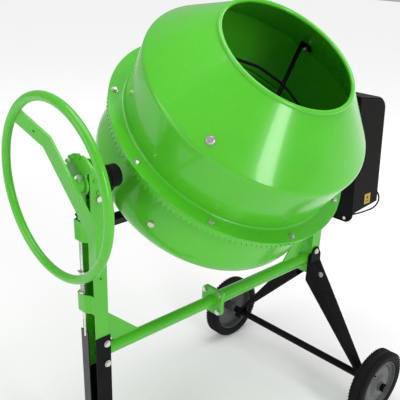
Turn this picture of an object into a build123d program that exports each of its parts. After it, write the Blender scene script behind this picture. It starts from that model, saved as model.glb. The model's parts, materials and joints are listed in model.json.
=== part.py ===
from build123d import *
from math import atan2, cos, degrees, pi, radians, sin, sqrt, tan
import os

# Tilting-drum concrete mixer, millimetres, +Z up.
# The pieces are modelled about the crossing of the tilt axis (X) and the drum axis,
# then lifted so that the machine stands on z = 0, centred on the origin.
# The drum and everything that turns with it is drawn upright and leaned once.

# --- driving dimensions -------------------------------------------------------
TILT_AXIS_HEIGHT = 888.0     # tilt axis above the floor
REST_TILT = 36.2             # lean of the drum axis from vertical, towards -Y

DRUM_SHEET = 2.5
FLANGE_R = 325.0
FLANGE_TOP = 50.5
WALL_FOOT_R = 283.0
CREASE_R = 294.0
CREASE_Z = 190.0
MOUTH_R = 169.0
MOUTH_Z = 311.0
BEAD_R = 5.5
BOWL_TOP_R = 285.0
BOWL_BELLY_R = 309.0
BOWL_BELLY_Z = -112.0
BOWL_FLOOR_R = 203.0
BOWL_FLOOR_Z = -205.0
SEAL_THICK = 1.5

WAIST_BOLTS = 9
WAIST_BOLT_R = 310.0
FIRST_WAIST_BOLT = 22.0      # degrees about the drum axis
BLADE_TURN = 22.0            # meridian of the first mixing blade
BLADE_BAR = 11.0
SLIM_BAR = 7.0              # second mixing bar
BLADE_TAB = 30.0
CONE_WASHER = 22.0
BOWL_WASHER = 17.0
CONE_FIXING_Z = 210.0
BOWL_FIXING_Z = -64.0

RING_TEETH = 147
PINION_TEETH = 13
MESH_R = 311.0               # middle of the tooth face, from the drum axis
TOOTH_FACE = 17.0
TOOTH_PLAY = 0.7             # taken off each tooth's thickness
PRESSURE_ANGLE = 20.0

SPINDLE_D = 20.0
BEARING_OD = 47.0
BEARING_W = 10.0
SHAFT_D = 20.0               # pinion shaft
SHAFT_BEARING_OD = 40.0
SLEEVE_OD = 45.0
SHAFT_BEARING_W = 12.0
RUNNING = 0.05               # radial clearance of every running fit

POST_OUTER = 429.0           # left post: open side, distance from the drum axis
POST_INNER = 391.5           # left post: web
RIGHT_POST_INNER = 408.0
RIGHT_POST_OUTER = 449.0
POST_HALF_W = 26.9
POST_SHEET = 3.0
POST_TOP = 42.0
LEFT_POST_FOOT = -498.0
RIGHT_POST_FOOT = -492.0
CROSS_TUBE_Z = -448.0
LEFT_TUBE_D = 33.4
RIGHT_TUBE_D = 38.8
TUBE_WALL = 2.5
JOINT_X = -5.0
JOINT_PLATE = 76.0
JOINT_SHEET = 6.0
JOINT_BOLT_PITCH = 54.0

YOKE_ARM_IN = 344.0
YOKE_ARM_OUT = 366.0
YOKE_ARM_HALF_W = 18.0
YOKE_BAR_TOP = -245.0
YOKE_BAR_FOOT = -277.0
YOKE_BAR_FRONT = 12.0        # front face of the bar, behind the drum axis
YOKE_BAR_BACK = 34.0
YOKE_CORNER = 90.0           # how far the lower corners are cut back
SADDLE_TOP = -233.0
SADDLE_THICK = 18.0
TRUNNION_OD = 52.0
TILT_SHAFT_D = 30.0

WHEEL_X = 425.0
WHEEL_Y = 311.0
WHEEL_R = 113.8
TYRE_W = 49.4
RIM_R = 84.0
AXLE_D = 23.8
JOURNAL_D = 20.0
CAP_END = 349.7              # outer end of an axle cap, level with the drum's widest reach

HANDWHEEL_X = -503.3
HANDWHEEL_R = 194.5
HANDWHEEL_TUBE = 20.7
SPOKE_X = -462.0
SPOKE_W = 40.0
SPOKE_SHEET = 6.0
SPOKE_BEND_R = 112.0
SPOKE_ANGLE = 45.0
HUB_D = 42.0

SECTOR_R = 66.0
SECTOR_X = -434.0
SECTOR_SHEET = 6.0
NOTCH_STEP = 16.0
NOTCH_COUNT = 12
NOTCH_DEPTH = 12.5
ROD_Y = 10.0
ROD_D = 7.0

PEDAL_PIVOT_X = -402.0
PEDAL_PIVOT_Z = -800.0
STRAP_X = -434.0

HOUSING_TOP_Z = 82.0
HOUSING_FOOT_Z = -264.0
HOUSING_TOP_HALF = 100.0
HOUSING_FOOT_HALF = 127.0
HOUSING_X0 = 452.0
HOUSING_X1 = 590.0
MOTOR_Z = -190.0
BIG_PULLEY_R = 70.0
SMALL_PULLEY_R = 9.0
BELT_W = 14.0
BELT_T = 3.0
BELT_X = 468.0
SWITCH_DEPTH = 34.0
BUTTON_STAND = 4.0           # how far a button stands proud of its box

# middle of the overall width, brought to x = 0
LEFT_END = HANDWHEEL_X - HANDWHEEL_TUBE / 2
RIGHT_END = HOUSING_X1 + SWITCH_DEPTH + BUTTON_STAND
CENTRE_SHIFT = -(LEFT_END + RIGHT_END) / 2

# --- helpers ------------------------------------------------------------------


def lean(shape):
    """Lean an upright drum piece to the rest position."""
    return Rot(REST_TILT, 0, 0) * shape


def save(name, shape):
    """Write one node, moved to stand on the floor."""
    placed = Pos(CENTRE_SHIFT, 0, TILT_AXIS_HEIGHT) * shape
    export_step(placed, f"parts/{name}.step")
    print(name, "volume", round(placed.volume))


def merged(shapes):
    """One shape from a list of solids that touch or overlap."""
    first, *rest = shapes
    return first.fuse(*rest) if rest else first


def group(shapes):
    """A group of separate solids."""
    solids = []
    for shape in shapes:
        solids.extend(shape.solids())
    return Compound(children=solids)


def box_between(x, y, z):
    """A box from three (low, high) pairs."""
    size = [b - a for a, b in (x, y, z)]
    middle = [(a + b) / 2 for a, b in (x, y, z)]
    return Pos(*middle) * Box(*size)


def rod_between(start, end, diameter):
    """A round bar from one point to another."""
    a = Vector(*start)
    b = Vector(*end)
    plane = Plane(origin=a, z_dir=b - a)
    return extrude(plane * Circle(diameter / 2), (b - a).length)


def tube_between(start, end, outer, inner):
    """A round tube from one point to another."""
    return rod_between(start, end, outer) - rod_between(start, end, inner)


def revolved(face):
    """Turn a face drawn in the XZ plane about the Z axis."""
    return revolve(face, Axis.Z, 360)


def sheet_revolved(points, radii, thickness):
    """A turned sheet shell whose middle line runs through the points."""
    profile = trace(FilletPolyline(*points, radius=radii), thickness)
    return revolved(Plane.XZ * profile)


def polygon_in(plane, points, depth):
    """Extrude a polygon drawn on a plane."""
    return extrude(plane * make_face(Polyline(*points, close=True)), depth)


def along(point, direction):
    """A plane at a point, facing a direction."""
    return Plane(origin=Vector(*point), z_dir=Vector(*direction))


def hex_head(plane, across, height):
    """A six-sided head standing on a plane."""
    return extrude(plane * RegularPolygon(across / 2, 6, major_radius=False), height)


def bolt(start, direction, grip, size=8.0, washer=0.0):
    """A bolt with its nut; the head's underside is at the start point."""
    unit = Vector(*direction).normalized()
    head_plane = along(start, tuple(unit * -1))
    nut_point = Vector(*start) + unit * grip
    nut_plane = along(tuple(nut_point), tuple(unit))
    pieces = [hex_head(head_plane, 1.6 * size, 0.65 * size)]
    pieces.append(rod_between(start, tuple(nut_point + unit * size), size))
    pieces.append(hex_head(nut_plane, 1.6 * size, 0.7 * size))
    if washer:
        pieces.append(extrude(head_plane * Circle(washer / 2), 1.6))
    return merged(pieces)


def bolt_hole(start, direction, grip, size=8.0):
    """The hole that a bolt passes through."""
    unit = Vector(*direction).normalized()
    first = Vector(*start) - unit * 4
    last = Vector(*start) + unit * (grip + 4)
    return rod_between(tuple(first), tuple(last), size + 0.6)


def polar(radius, turn, height):
    """A point of the upright drum from its radius, angle and height."""
    return (radius * cos(radians(turn)), radius * sin(radians(turn)), height)


# --- drum ---------------------------------------------------------------------

CONE_SLOPE = (CREASE_R - MOUTH_R) / (MOUTH_Z - CREASE_Z)
CONE_LEAN = degrees(atan2(1.0, CONE_SLOPE))
MODULE = 2 * MESH_R / RING_TEETH
PINION_R = MODULE * PINION_TEETH / 2
RING_ROOT = PINION_R + 1.2 * MODULE
LOWER_FLANGE_TOP = FLANGE_TOP - DRUM_SHEET - SEAL_THICK
LOWER_FLANGE_FOOT = LOWER_FLANGE_TOP - DRUM_SHEET
BOWL_LEAN = degrees(atan2(BOWL_BELLY_R - BOWL_TOP_R, LOWER_FLANGE_TOP - BOWL_BELLY_Z))


def cone_radius(height):
    """Middle-line radius of the drum's cone at a height."""
    return CREASE_R - (height - CREASE_Z) * CONE_SLOPE


def waist_bolt_turns():
    return [FIRST_WAIST_BOLT + 360.0 / WAIST_BOLTS * i for i in range(WAIST_BOLTS)]


def waist_holes():
    return [bolt_hole(polar(WAIST_BOLT_R, turn, FLANGE_TOP), (0, 0, -1), 16)
            for turn in waist_bolt_turns()]


def blade_fixings():
    """Start point, inward direction and grip of the four blade bolts."""
    fixings = []
    for side in (0, 180):
        turn = BLADE_TURN + side
        out = Vector(*polar(1, turn, 0))
        cone_normal = out * sin(radians(CONE_LEAN)) + Vector(0, 0, cos(radians(CONE_LEAN)))
        cone_point = out * cone_radius(CONE_FIXING_Z) + Vector(0, 0, CONE_FIXING_Z)
        fixings.append((cone_point + cone_normal * (DRUM_SHEET / 2), cone_normal * -1))
        belly_normal = out * cos(radians(BOWL_LEAN)) + Vector(0, 0, sin(radians(BOWL_LEAN)))
        belly = out * bowl_radius(BOWL_FIXING_Z) + Vector(0, 0, BOWL_FIXING_Z)
        fixings.append((belly + belly_normal * (DRUM_SHEET / 2 + 0.3), belly_normal * -1))
    return fixings


BLADE_GRIP = 9.0
BLADE_SHEET = 5.0
BOWL_RADII = [6, 70, 35]


def bowl_line():
    return [(323.0, LOWER_FLANGE_TOP - DRUM_SHEET / 2), (BOWL_TOP_R, LOWER_FLANGE_TOP - DRUM_SHEET / 2),
            (BOWL_BELLY_R, BOWL_BELLY_Z), (BOWL_FLOOR_R, BOWL_FLOOR_Z), (30.0, BOWL_FLOOR_Z)]


def bowl_radius(height):
    """Middle-line radius of the bowl where its side is still straight."""
    share = (LOWER_FLANGE_TOP - height) / (LOWER_FLANGE_TOP - BOWL_BELLY_Z)
    return BOWL_TOP_R + (BOWL_BELLY_R - BOWL_TOP_R) * share


def blade_holes():
    return [bolt_hole(tuple(point), tuple(inward), BLADE_GRIP) for point, inward in blade_fixings()]


def upper_drum():
    middle = FLANGE_TOP - DRUM_SHEET / 2
    points = [(FLANGE_R, middle), (WALL_FOOT_R, middle), (CREASE_R, CREASE_Z), (MOUTH_R, MOUTH_Z)]
    shell = sheet_revolved(points, [8, 16], DRUM_SHEET)
    bead = revolved(Plane.XZ * Pos(MOUTH_R, MOUTH_Z) * Circle(BEAD_R))
    return merged([shell, bead]).cut(*waist_holes(), *blade_holes())


def lower_drum():
    side = sheet_revolved(bowl_line(), BOWL_RADII, DRUM_SHEET)
    floor = Pos(0, 0, BOWL_FLOOR_Z) * Cylinder(31, DRUM_SHEET)
    shell = merged([side, floor])
    hub_holes = [bolt_hole(polar(62, 45 + 90 * i, BOWL_FLOOR_Z + 2), (0, 0, -1), 10) for i in range(4)]
    return shell.cut(*waist_holes(), *blade_holes(), *hub_holes)


def waist_seal():
    ring = extrude(Pos(0, 0, LOWER_FLANGE_TOP) * (Circle(323) - Circle(291)), SEAL_THICK)
    return ring.cut(*waist_holes())


def ring_gear():
    """Crown gear under the waist flange, teeth pointing down at the pinion."""
    inner = MESH_R - TOOTH_FACE / 2
    outer = MESH_R + TOOTH_FACE / 2
    body = extrude(Pos(0, 0, RING_ROOT) * (Circle(outer) - Circle(inner)), LOWER_FLANGE_FOOT - RING_ROOT)
    pitch = pi * MODULE
    lean_per_mm = tan(radians(PRESSURE_ANGLE))
    half_pitch = pitch / 4 - TOOTH_PLAY / 2
    tip = PINION_R - 0.95 * MODULE
    top_half = half_pitch + (RING_ROOT + 0.5 - PINION_R) * lean_per_mm
    tip_half = half_pitch - (PINION_R - tip) * lean_per_mm
    root = RING_ROOT + 0.5
    outline = [(-top_half, root), (top_half, root), (tip_half, tip), (-tip_half, tip)]
    blank = polygon_in(Plane.YZ.offset(inner), outline, TOOTH_FACE)
    teeth = [Rot(0, 0, 360.0 / RING_TEETH * (i + 0.5)) * blank for i in range(RING_TEETH)]
    taps = [rod_between(polar(WAIST_BOLT_R, turn, RING_ROOT + 2), polar(WAIST_BOLT_R, turn, FLANGE_TOP), 7)
            for turn in waist_bolt_turns()]
    return body.fuse(*teeth).cut(*taps)


def nut_rooms():
    """Clear space round the nuts of the blade bolts, where the bars pass them."""
    rooms = []
    for point, inward in blade_fixings():
        face = point + inward * (DRUM_SHEET + 1.2 + BLADE_SHEET)
        rooms.append(rod_between(tuple(face), tuple(face + inward * 14), 15.8))
    return rooms


def waist_bolts():
    """Bolts with washers, threaded into the ring gear."""
    bolts = []
    for turn in waist_bolt_turns():
        seat = Plane.XY.offset(FLANGE_TOP) * Pos(*polar(WAIST_BOLT_R, turn, 0))
        washer = extrude(seat * Circle(8), 1.6)
        head = extrude(seat * RegularPolygon(5.6, 6, major_radius=False), 6.2)
        shank = rod_between(polar(WAIST_BOLT_R, turn, RING_ROOT + 2.5),
                            polar(WAIST_BOLT_R, turn, FLANGE_TOP + 1), 7)
        bolts.append(merged([washer, head, shank]))
    return group(bolts)


def blade(points, radii, fixings, bar_d):
    """A bent mixing bar with a flat tab at each end, bolted to the drum wall."""
    path = FilletPolyline(*points, radius=radii)
    bar = sweep(Plane(origin=path @ 0, z_dir=path % 0) * Circle(bar_d / 2), path=path)
    pieces = [bar]
    for point, inward in fixings:
        start = point + inward * (DRUM_SHEET + 1.2)
        plane = Plane(origin=start, z_dir=inward)
        pieces.append(extrude(plane * Rectangle(BLADE_TAB, BLADE_TAB), BLADE_SHEET))
    return merged(pieces).cut(*blade_holes(), *nut_rooms())


def blade_ends(index):
    """Points just inside the tabs where a blade's bar begins and ends."""
    cone, belly = blade_fixings()[2 * index:2 * index + 2]
    turn = BLADE_TURN + 180 * index
    sideways = Vector(*polar(1, turn + 90, 0)) * 13
    first = cone[0] + cone[1] * (DRUM_SHEET + 5.5) + sideways
    last = belly[0] + belly[1] * (DRUM_SHEET + 5.5) + sideways
    return tuple(first), tuple(last)


def mixing_blade_first():
    first, last = blade_ends(0)
    points = [first, polar(60, -20, 150), polar(120, 15, -40), last]
    return blade(points, [40, 40], blade_fixings()[:2], BLADE_BAR)


def mixing_blade_second():
    first, last = blade_ends(1)
    points = [first, (-95, 108, 228), (20, 55, 218), (95, 5, 192), (160, -135, 140), last]
    return blade(points, [60, 150, 100, 50], blade_fixings()[2:], SLIM_BAR)


def blade_bolts():
    washers = (CONE_WASHER, BOWL_WASHER)
    bolts = [bolt(tuple(point), tuple(inward), BLADE_GRIP, 8, washers[i % 2])
             for i, (point, inward) in enumerate(blade_fixings())]
    for i in range(4):
        bolts.append(bolt(polar(62, 45 + 90 * i, BOWL_FLOOR_Z + DRUM_SHEET / 2), (0, 0, -1), 10.7, 8, 18))
    return group(bolts)


HUB_FOOT = -229.0
HUB_BORE_DEPTH = 21.0


def drum_hub():
    """Bearing hub bolted under the bowl."""
    top = BOWL_FLOOR_Z - DRUM_SHEET / 2
    flange = extrude(Pos(0, 0, top - 8) * Circle(82), 8)
    barrel = extrude(Pos(0, 0, HUB_FOOT) * Circle(33), top - HUB_FOOT)
    bore = extrude(Pos(0, 0, HUB_FOOT) * Circle(BEARING_OD / 2), HUB_BORE_DEPTH)
    holes = [bolt_hole(polar(62, 45 + 90 * i, top), (0, 0, -1), 10) for i in range(4)]
    return merged([flange, barrel]).cut(bore, *holes)


def spindle_bearings():
    rings = []
    for foot in (HUB_FOOT, HUB_FOOT + HUB_BORE_DEPTH - BEARING_W):
        face = Circle(BEARING_OD / 2) - Circle(SPINDLE_D / 2 + RUNNING)
        rings.append(extrude(Pos(0, 0, foot) * face, BEARING_W))
    return group(rings)


# --- yoke and tilting gear ----------------------------------------------------

def yoke():
    """U-shaped tilting frame: two arms, the bar under the drum and the trunnions."""
    out = YOKE_ARM_OUT
    into = YOKE_ARM_IN
    thick = out - into
    cut = YOKE_CORNER
    inner_cut = cut - thick
    front = [(-out, 0), (-out, YOKE_BAR_FOOT + cut), (cut - out, YOKE_BAR_FOOT), (out - cut, YOKE_BAR_FOOT),
             (out, YOKE_BAR_FOOT + cut), (out, 0), (into, 0), (into, YOKE_BAR_TOP + inner_cut),
             (into - inner_cut, YOKE_BAR_TOP), (inner_cut - into, YOKE_BAR_TOP),
             (-into, YOKE_BAR_TOP + inner_cut), (-into, 0)]
    half = YOKE_ARM_HALF_W
    side = [(-half, 1), (half, 1), (half, -20), (YOKE_BAR_BACK, -225), (YOKE_BAR_BACK, YOKE_BAR_FOOT),
            (YOKE_BAR_FRONT, YOKE_BAR_FOOT), (YOKE_BAR_FRONT, YOKE_BAR_TOP), (-4, -215), (-half, -20)]
    hoop = extrude(Plane.XZ * make_face(Polyline(*front, close=True)), 60, both=True)
    hoop = hoop & polygon_in(Plane.YZ.offset(-400), side, 800)
    saddle = box_between((-32, 32), (-20, YOKE_BAR_FRONT + 0.5), (SADDLE_TOP - SADDLE_THICK, SADDLE_TOP))
    left = rod_between((-into + 4, 0, 0), (-POST_INNER + 3, 0, 0), TRUNNION_OD)
    right = rod_between((into, 0, 0), (RIGHT_POST_INNER - 3, 0, 0), TRUNNION_OD)
    sleeve = rod_between((RIGHT_POST_INNER - 3, 0, 0), (RIGHT_POST_OUTER - 2, 0, 0), SLEEVE_OD)
    shaft = rod_between((-into, 0, 0), (SPOKE_X + SPOKE_SHEET / 2, 0, 0), TILT_SHAFT_D)
    bore = rod_between((into - 1, 0, 0), (RIGHT_POST_OUTER, 0, 0), SHAFT_BEARING_OD)
    spindle_hole = rod_between((0, 0, SADDLE_TOP - SADDLE_THICK - 1), (0, 0, SADDLE_TOP + 1), SPINDLE_D)
    body = merged([hoop, saddle, left, right, sleeve, shaft])
    return body.cut(bore, spindle_hole, clamp_hole())


def drum_spindle():
    """Spindle that carries the drum, with its collar and the nut under the saddle."""
    foot = SADDLE_TOP - SADDLE_THICK
    shaft = rod_between((0, 0, foot - 16), (0, 0, HUB_FOOT + HUB_BORE_DEPTH - 0.5), SPINDLE_D)
    collar = rod_between((0, 0, SADDLE_TOP), (0, 0, HUB_FOOT - 0.5), 27)
    nut = hex_head(Plane.XY.offset(foot - 12), 22, 12)
    return merged([shaft, collar, nut])


def shaft_bearings():
    rings = []
    for start in (YOKE_ARM_IN + 1, RIGHT_POST_OUTER - 16):
        end = (start + SHAFT_BEARING_W, 0, 0)
        ring = tube_between((start, 0, 0), end, SHAFT_BEARING_OD, SHAFT_D + 2 * RUNNING)
        rings.append(ring)
    return group(rings)


def handwheel_ring():
    face = Plane.XZ * Pos(HANDWHEEL_R, 0) * Circle(HANDWHEEL_TUBE / 2)
    ring = Rot(0, 90, 0) * revolved(face)
    return Pos(HANDWHEEL_X, 0, 0) * ring


def spoke_outline():
    """Middle line of the spoke bar: radius against position along the tilt axis."""
    reach = HANDWHEEL_R - HANDWHEEL_TUBE / 2 + 4
    end = HANDWHEEL_X + 4
    return [(-reach, end), (-SPOKE_BEND_R, SPOKE_X), (SPOKE_BEND_R, SPOKE_X), (reach, end)]


def handwheel_spoke():
    """Flat bar across the ring, set in towards the post."""
    line = FilletPolyline(*[(-x, r, 0) for r, x in spoke_outline()], radius=[14, 14])
    strip = extrude(trace(line, SPOKE_SHEET), SPOKE_W / 2, both=True)
    turned = Rot(SPOKE_ANGLE, 0, 0) * (Rot(0, 0, 180) * strip)
    tool_hole = rod_between((HANDWHEEL_X, 101, 101), (HANDWHEEL_X + 60, 101, 101), 7)
    return turned - handwheel_ring() - tool_hole


def handwheel_hub():
    start = (SPOKE_X + SPOKE_SHEET / 2, 0, 0)
    end = (SECTOR_X - SECTOR_SHEET / 2, 0, 0)
    return tube_between(start, end, HUB_D, TILT_SHAFT_D).cut(clamp_hole())


CLAMP_X = -448.0


def clamp_hole():
    return rod_between((CLAMP_X, 0, -40), (CLAMP_X, 0, 40), 8)


def hub_clamp_bolt():
    washer = rod_between((CLAMP_X, 0, HUB_D / 2), (CLAMP_X, 0, HUB_D / 2 + 2), 17)
    head = hex_head(Plane.XY.offset(HUB_D / 2 + 2) * Pos(CLAMP_X, 0), 13, 5.5)
    shank = rod_between((CLAMP_X, 0, -HUB_D / 2 - 9), (CLAMP_X, 0, HUB_D / 2 + 3), 8)
    nut = hex_head(Plane.XY.offset(-HUB_D / 2 - 7) * Pos(CLAMP_X, 0), 13, 7)
    return merged([washer, head, shank, nut])


def lock_sector():
    """Notched plate on the tilt shaft, cut away on its lower front side."""
    plane = Plane.YZ.offset(SECTOR_X - SECTOR_SHEET / 2)
    disc = extrude(plane * (Circle(SECTOR_R) - Circle(TILT_SHAFT_D / 2)), SECTOR_SHEET)
    gap = extrude(plane * make_face(Polyline((-24, 30), (-90, 42), (-90, -90), (-13, -90), (-13, -28),
                                             close=True)), SECTOR_SHEET)
    gap = gap - extrude(plane * Circle(27), SECTOR_SHEET)
    notch = box_between((SECTOR_X - 5, SECTOR_X + 5), (ROD_Y - 4.6, ROD_Y + 4.6),
                        (-SECTOR_R - 6, -SECTOR_R + NOTCH_DEPTH))
    notches = [Rot(NOTCH_STEP * i, 0, 0) * notch for i in range(NOTCH_COUNT)]
    return disc.cut(gap, *notches)


# --- pinion drive -------------------------------------------------------------


def involute_outline(teeth, module, play):
    """Outline of a spur gear, with each tooth thinned by the play."""
    pitch_r = module * teeth / 2
    base_r = pitch_r * cos(radians(PRESSURE_ANGLE))
    tip_r = pitch_r + 0.95 * module
    root_r = pitch_r - 1.15 * module
    angle = radians(PRESSURE_ANGLE)
    half_at_pitch = pi / (2 * teeth) - play / (2 * pitch_r)
    half_at_base = half_at_pitch + tan(angle) - angle
    points = []
    for i in range(teeth):
        middle = pi / 2 + 2 * pi * i / teeth
        flank = []
        for step in range(6):
            radius = base_r + (tip_r - base_r) * step / 5
            spread = sqrt(max((radius / base_r) ** 2 - 1, 0))
            half = half_at_base - (spread - atan2(spread, 1))
            flank.append((radius, half))
        left = [(root_r, half_at_base)] + flank
        points += [(r * cos(middle - h), r * sin(middle - h)) for r, h in left]
        points += [(r * cos(middle + h), r * sin(middle + h)) for r, h in reversed(left)]
    return points


def pinion():
    inner = MESH_R - TOOTH_FACE / 2
    outline = involute_outline(PINION_TEETH, MODULE, TOOTH_PLAY)
    gear = extrude(Plane.YZ.offset(inner) * make_face(Polyline(*outline, close=True)), TOOTH_FACE)
    boss = rod_between((inner + TOOTH_FACE, 0, 0), (YOKE_ARM_IN - 1.5, 0, 0), 34)
    bore = rod_between((inner - 1, 0, 0), (YOKE_ARM_IN, 0, 0), SHAFT_D)
    return merged([gear, boss]) - bore


def pinion_shaft():
    inner = MESH_R - TOOTH_FACE / 2
    shaft = rod_between((inner, 0, 0), (BELT_X + 12, 0, 0), SHAFT_D)
    nut = hex_head(Plane.YZ.offset(BELT_X + 12), 26, 8)
    return merged([shaft, nut])


def large_pulley():
    rim = tube_between((BELT_X - 9, 0, 0), (BELT_X + 9, 0, 0), 2 * BIG_PULLEY_R, 2 * BIG_PULLEY_R - 12)
    web = tube_between((BELT_X - 2, 0, 0), (BELT_X + 2, 0, 0), 2 * BIG_PULLEY_R - 6, 30)
    hub = tube_between((BELT_X - 11, 0, 0), (BELT_X + 12, 0, 0), 36, SHAFT_D)
    holes = [rod_between((BELT_X - 5, 42 * cos(a), 42 * sin(a)), (BELT_X + 5, 42 * cos(a), 42 * sin(a)), 22)
             for a in (radians(60 * i) for i in range(6))]
    return merged([rim, web, hub]).cut(*holes)


def belt_outline(extra):
    """The belt's loop round both pulleys, drawn on the YZ plane."""
    big = BIG_PULLEY_R + extra
    small = SMALL_PULLEY_R + extra
    drop = -MOTOR_Z
    slope = (big - small) / drop
    rise = sqrt(1 - slope * slope)
    corner_a = (big * rise, -big * slope)
    corner_b = (small * rise, -drop - small * slope)
    sides = [corner_a, corner_b, (-corner_b[0], corner_b[1]), (-corner_a[0], corner_a[1])]
    flanks = make_face(Polyline(*sides, close=True))
    return flanks + Circle(big) + Pos(0, -drop) * Circle(small)


def drive_belt():
    plane = Plane.YZ.offset(BELT_X - BELT_W / 2)
    loop = belt_outline(0.35 + BELT_T) - belt_outline(0.35)
    return extrude(plane * loop, BELT_W)


def motor_shaft():
    """Rotor shaft with its small pulley."""
    shaft = rod_between((BELT_X - 10, 0, MOTOR_Z), (560, 0, MOTOR_Z), 12)
    pulley = rod_between((BELT_X - 9, 0, MOTOR_Z), (BELT_X + 9, 0, MOTOR_Z), 2 * SMALL_PULLEY_R)
    return merged([shaft, pulley])


def motor_body():
    """Motor casing with its flange, standing off the plate on four posts."""
    can = rod_between((488, 0, MOTOR_Z), (568, 0, MOTOR_Z), 102)
    flange = rod_between((482, 0, MOTOR_Z), (489, 0, MOTOR_Z), 126)
    fins = [Pos(525, 0, MOTOR_Z) * (Rot(20 * i, 0, 0) * Box(66, 3, 112)) for i in range(9)]
    bore = rod_between((480, 0, MOTOR_Z), (562, 0, MOTOR_Z), 12 + 2 * RUNNING)
    posts = [rod_between((HOUSING_X0, y, z), (483, y, z), 12) for y, z in motor_posts()]
    return merged([can, flange, *fins, *posts]) - bore


def motor_posts():
    return [(42 * a, MOTOR_Z + 32 * b) for a in (-1, 1) for b in (-1, 1)]


# --- housing ------------------------------------------------------------------


def housing_block(inset):
    """Outer or inner block of the motor cover, narrower and rounded at the top."""
    top = HOUSING_TOP_Z - inset
    foot = HOUSING_FOOT_Z + inset
    top_half = HOUSING_TOP_HALF - inset
    foot_half = HOUSING_FOOT_HALF - inset
    outer = HOUSING_X1 - inset
    front = [(-foot_half, foot), (foot_half, foot), (top_half, top), (-top_half, top)]
    block = polygon_in(Plane.YZ.offset(HOUSING_X0), front, outer - HOUSING_X0)
    side = Plane.XZ * make_face(Polyline((HOUSING_X0, foot), (outer, foot + 13), (outer, top - 20),
                                         (HOUSING_X0, top), close=True))
    profile = extrude(side, 200, both=True)
    block = block & profile
    upright = block.edges().filter_by(lambda e: abs(e.center().X - outer) < 1)
    round_r = max(16 - inset, 4)
    crown = upright.sort_by(Axis.Z)[-1]
    block = fillet(crown, 38 - inset)
    rest = block.edges().filter_by(lambda e: abs(e.center().X - outer) < 1 and abs(e.center().Y) > 50)
    return fillet(rest, round_r) if inset == 0 else block


LIP = 2.5


def motor_cover():
    shell = housing_block(0) - housing_block(3)
    lip = housing_slab(1) - housing_slab(24)
    lip_x = (HOUSING_X0, HOUSING_X0 + LIP)
    tabs = [box_between(lip_x, (side * 103 - 12, side * 103 + 12), (-291, HOUSING_FOOT_Z + 8))
            for side in (-1, 1)]
    cover = merged([shell, lip, *tabs])
    vents = [box_between((500 + 12 * i, 505 + 12 * i), (-70, 70), (HOUSING_FOOT_Z - 5, HOUSING_FOOT_Z + 20))
             for i in range(6)]
    return cover.cut(*vents, gland_hole(), *switch_holes(), *plate_screw_holes())


def housing_slab(inset):
    """Thin plate of the cover's front outline, for its inner lip."""
    foot = housing_half(HOUSING_FOOT_Z) - inset
    top = housing_half(HOUSING_TOP_Z) - inset
    front = [(-foot, HOUSING_FOOT_Z + inset), (foot, HOUSING_FOOT_Z + inset),
             (top, HOUSING_TOP_Z - inset), (-top, HOUSING_TOP_Z - inset)]
    return polygon_in(Plane.YZ.offset(HOUSING_X0), front, LIP)


def housing_half(z):
    """Half width of the housing at a height."""
    share = (HOUSING_TOP_Z - z) / (HOUSING_TOP_Z - HOUSING_FOOT_Z)
    return HOUSING_TOP_HALF + (HOUSING_FOOT_HALF - HOUSING_TOP_HALF) * share


EAR_Z = -296.0


def motor_plate():
    """Black plate between the post and the cover, with rounded ears below."""
    thick = HOUSING_X0 - RIGHT_POST_OUTER
    foot_half = housing_half(EAR_Z)
    outline = [(-foot_half, EAR_Z), (foot_half, EAR_Z), (HOUSING_TOP_HALF, HOUSING_TOP_Z),
               (-HOUSING_TOP_HALF, HOUSING_TOP_Z)]
    plate = polygon_in(Plane.YZ.offset(RIGHT_POST_OUTER), outline, thick)
    corners = plate.edges().filter_by(Axis.X).sort_by(Axis.Z)
    plate = fillet(corners[:2], 26)
    plate = fillet(plate.edges().filter_by(Axis.X).sort_by(Axis.Z)[-2:], 12)
    shaft_hole = rod_between((RIGHT_POST_OUTER - 1, 0, 0), (HOUSING_X0 + 1, 0, 0), 30)
    return plate.cut(shaft_hole, *plate_screw_holes(), *post_bolt_holes())


def plate_screw_points():
    return [(84, 66), (-84, 66), (103, -283), (-103, -283), (102, -100), (-102, -100)]


def plate_screw_holes():
    return [bolt_hole((RIGHT_POST_OUTER, y, z), (1, 0, 0), 6, 6) for y, z in plate_screw_points()]


def cover_screws():
    screws = []
    for y, z in plate_screw_points():
        screws.append(bolt((RIGHT_POST_OUTER, y, z), (1, 0, 0), HOUSING_X0 + LIP - RIGHT_POST_OUTER, 6))
    return group(screws)


# --- stand --------------------------------------------------------------------


def channel(inner_x, outer_x, half, z_low, z_high, sheet):
    """Upright channel: web on the inner side, open on the outer side."""
    low = min(inner_x, outer_x)
    high = max(inner_x, outer_x)
    whole = box_between((low, high), (-half, half), (z_low, z_high))
    if inner_x > outer_x:
        room = (low - 1, high - sheet)
    else:
        room = (low + sheet, high + 1)
    return whole - box_between(room, (-half + sheet, half - sheet), (z_low - 1, z_high + 1))


def left_leg_bolts():
    """Through bolts of the left leg: position along X and Z."""
    return [(-400.0, -411.0), (-400.0, -469.0)]


def right_leg_bolt():
    return (WHEEL_X, -415.0)


def left_post():
    post = channel(-POST_INNER, -POST_OUTER, POST_HALF_W, LEFT_POST_FOOT, POST_TOP, POST_SHEET)
    shaft_hole = rod_between((-POST_INNER - 5, 0, 0), (-POST_INNER + 5, 0, 0), 36)
    holes = [bolt_hole((x, -32, z), (0, 1, 0), 64) for x, z in left_leg_bolts()]
    holes.append(bolt_hole((-408, -32, -33), (0, 1, 0), 64))
    holes.append(rod_between((-409, -30, -230), (-409, -20, -230), 7))
    return post.cut(shaft_hole, *holes)


def post_bolt_points():
    return [(-60.0), (-180.0)]


def post_bolt_holes():
    """Bolts that hold the motor plate on the right post's outer flanges."""
    holes = []
    for z in post_bolt_points():
        for side in (-1, 1):
            holes.append(bolt_hole((RIGHT_POST_OUTER - 8, side * 17, z), (1, 0, 0), 12, 6))
    return holes


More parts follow.
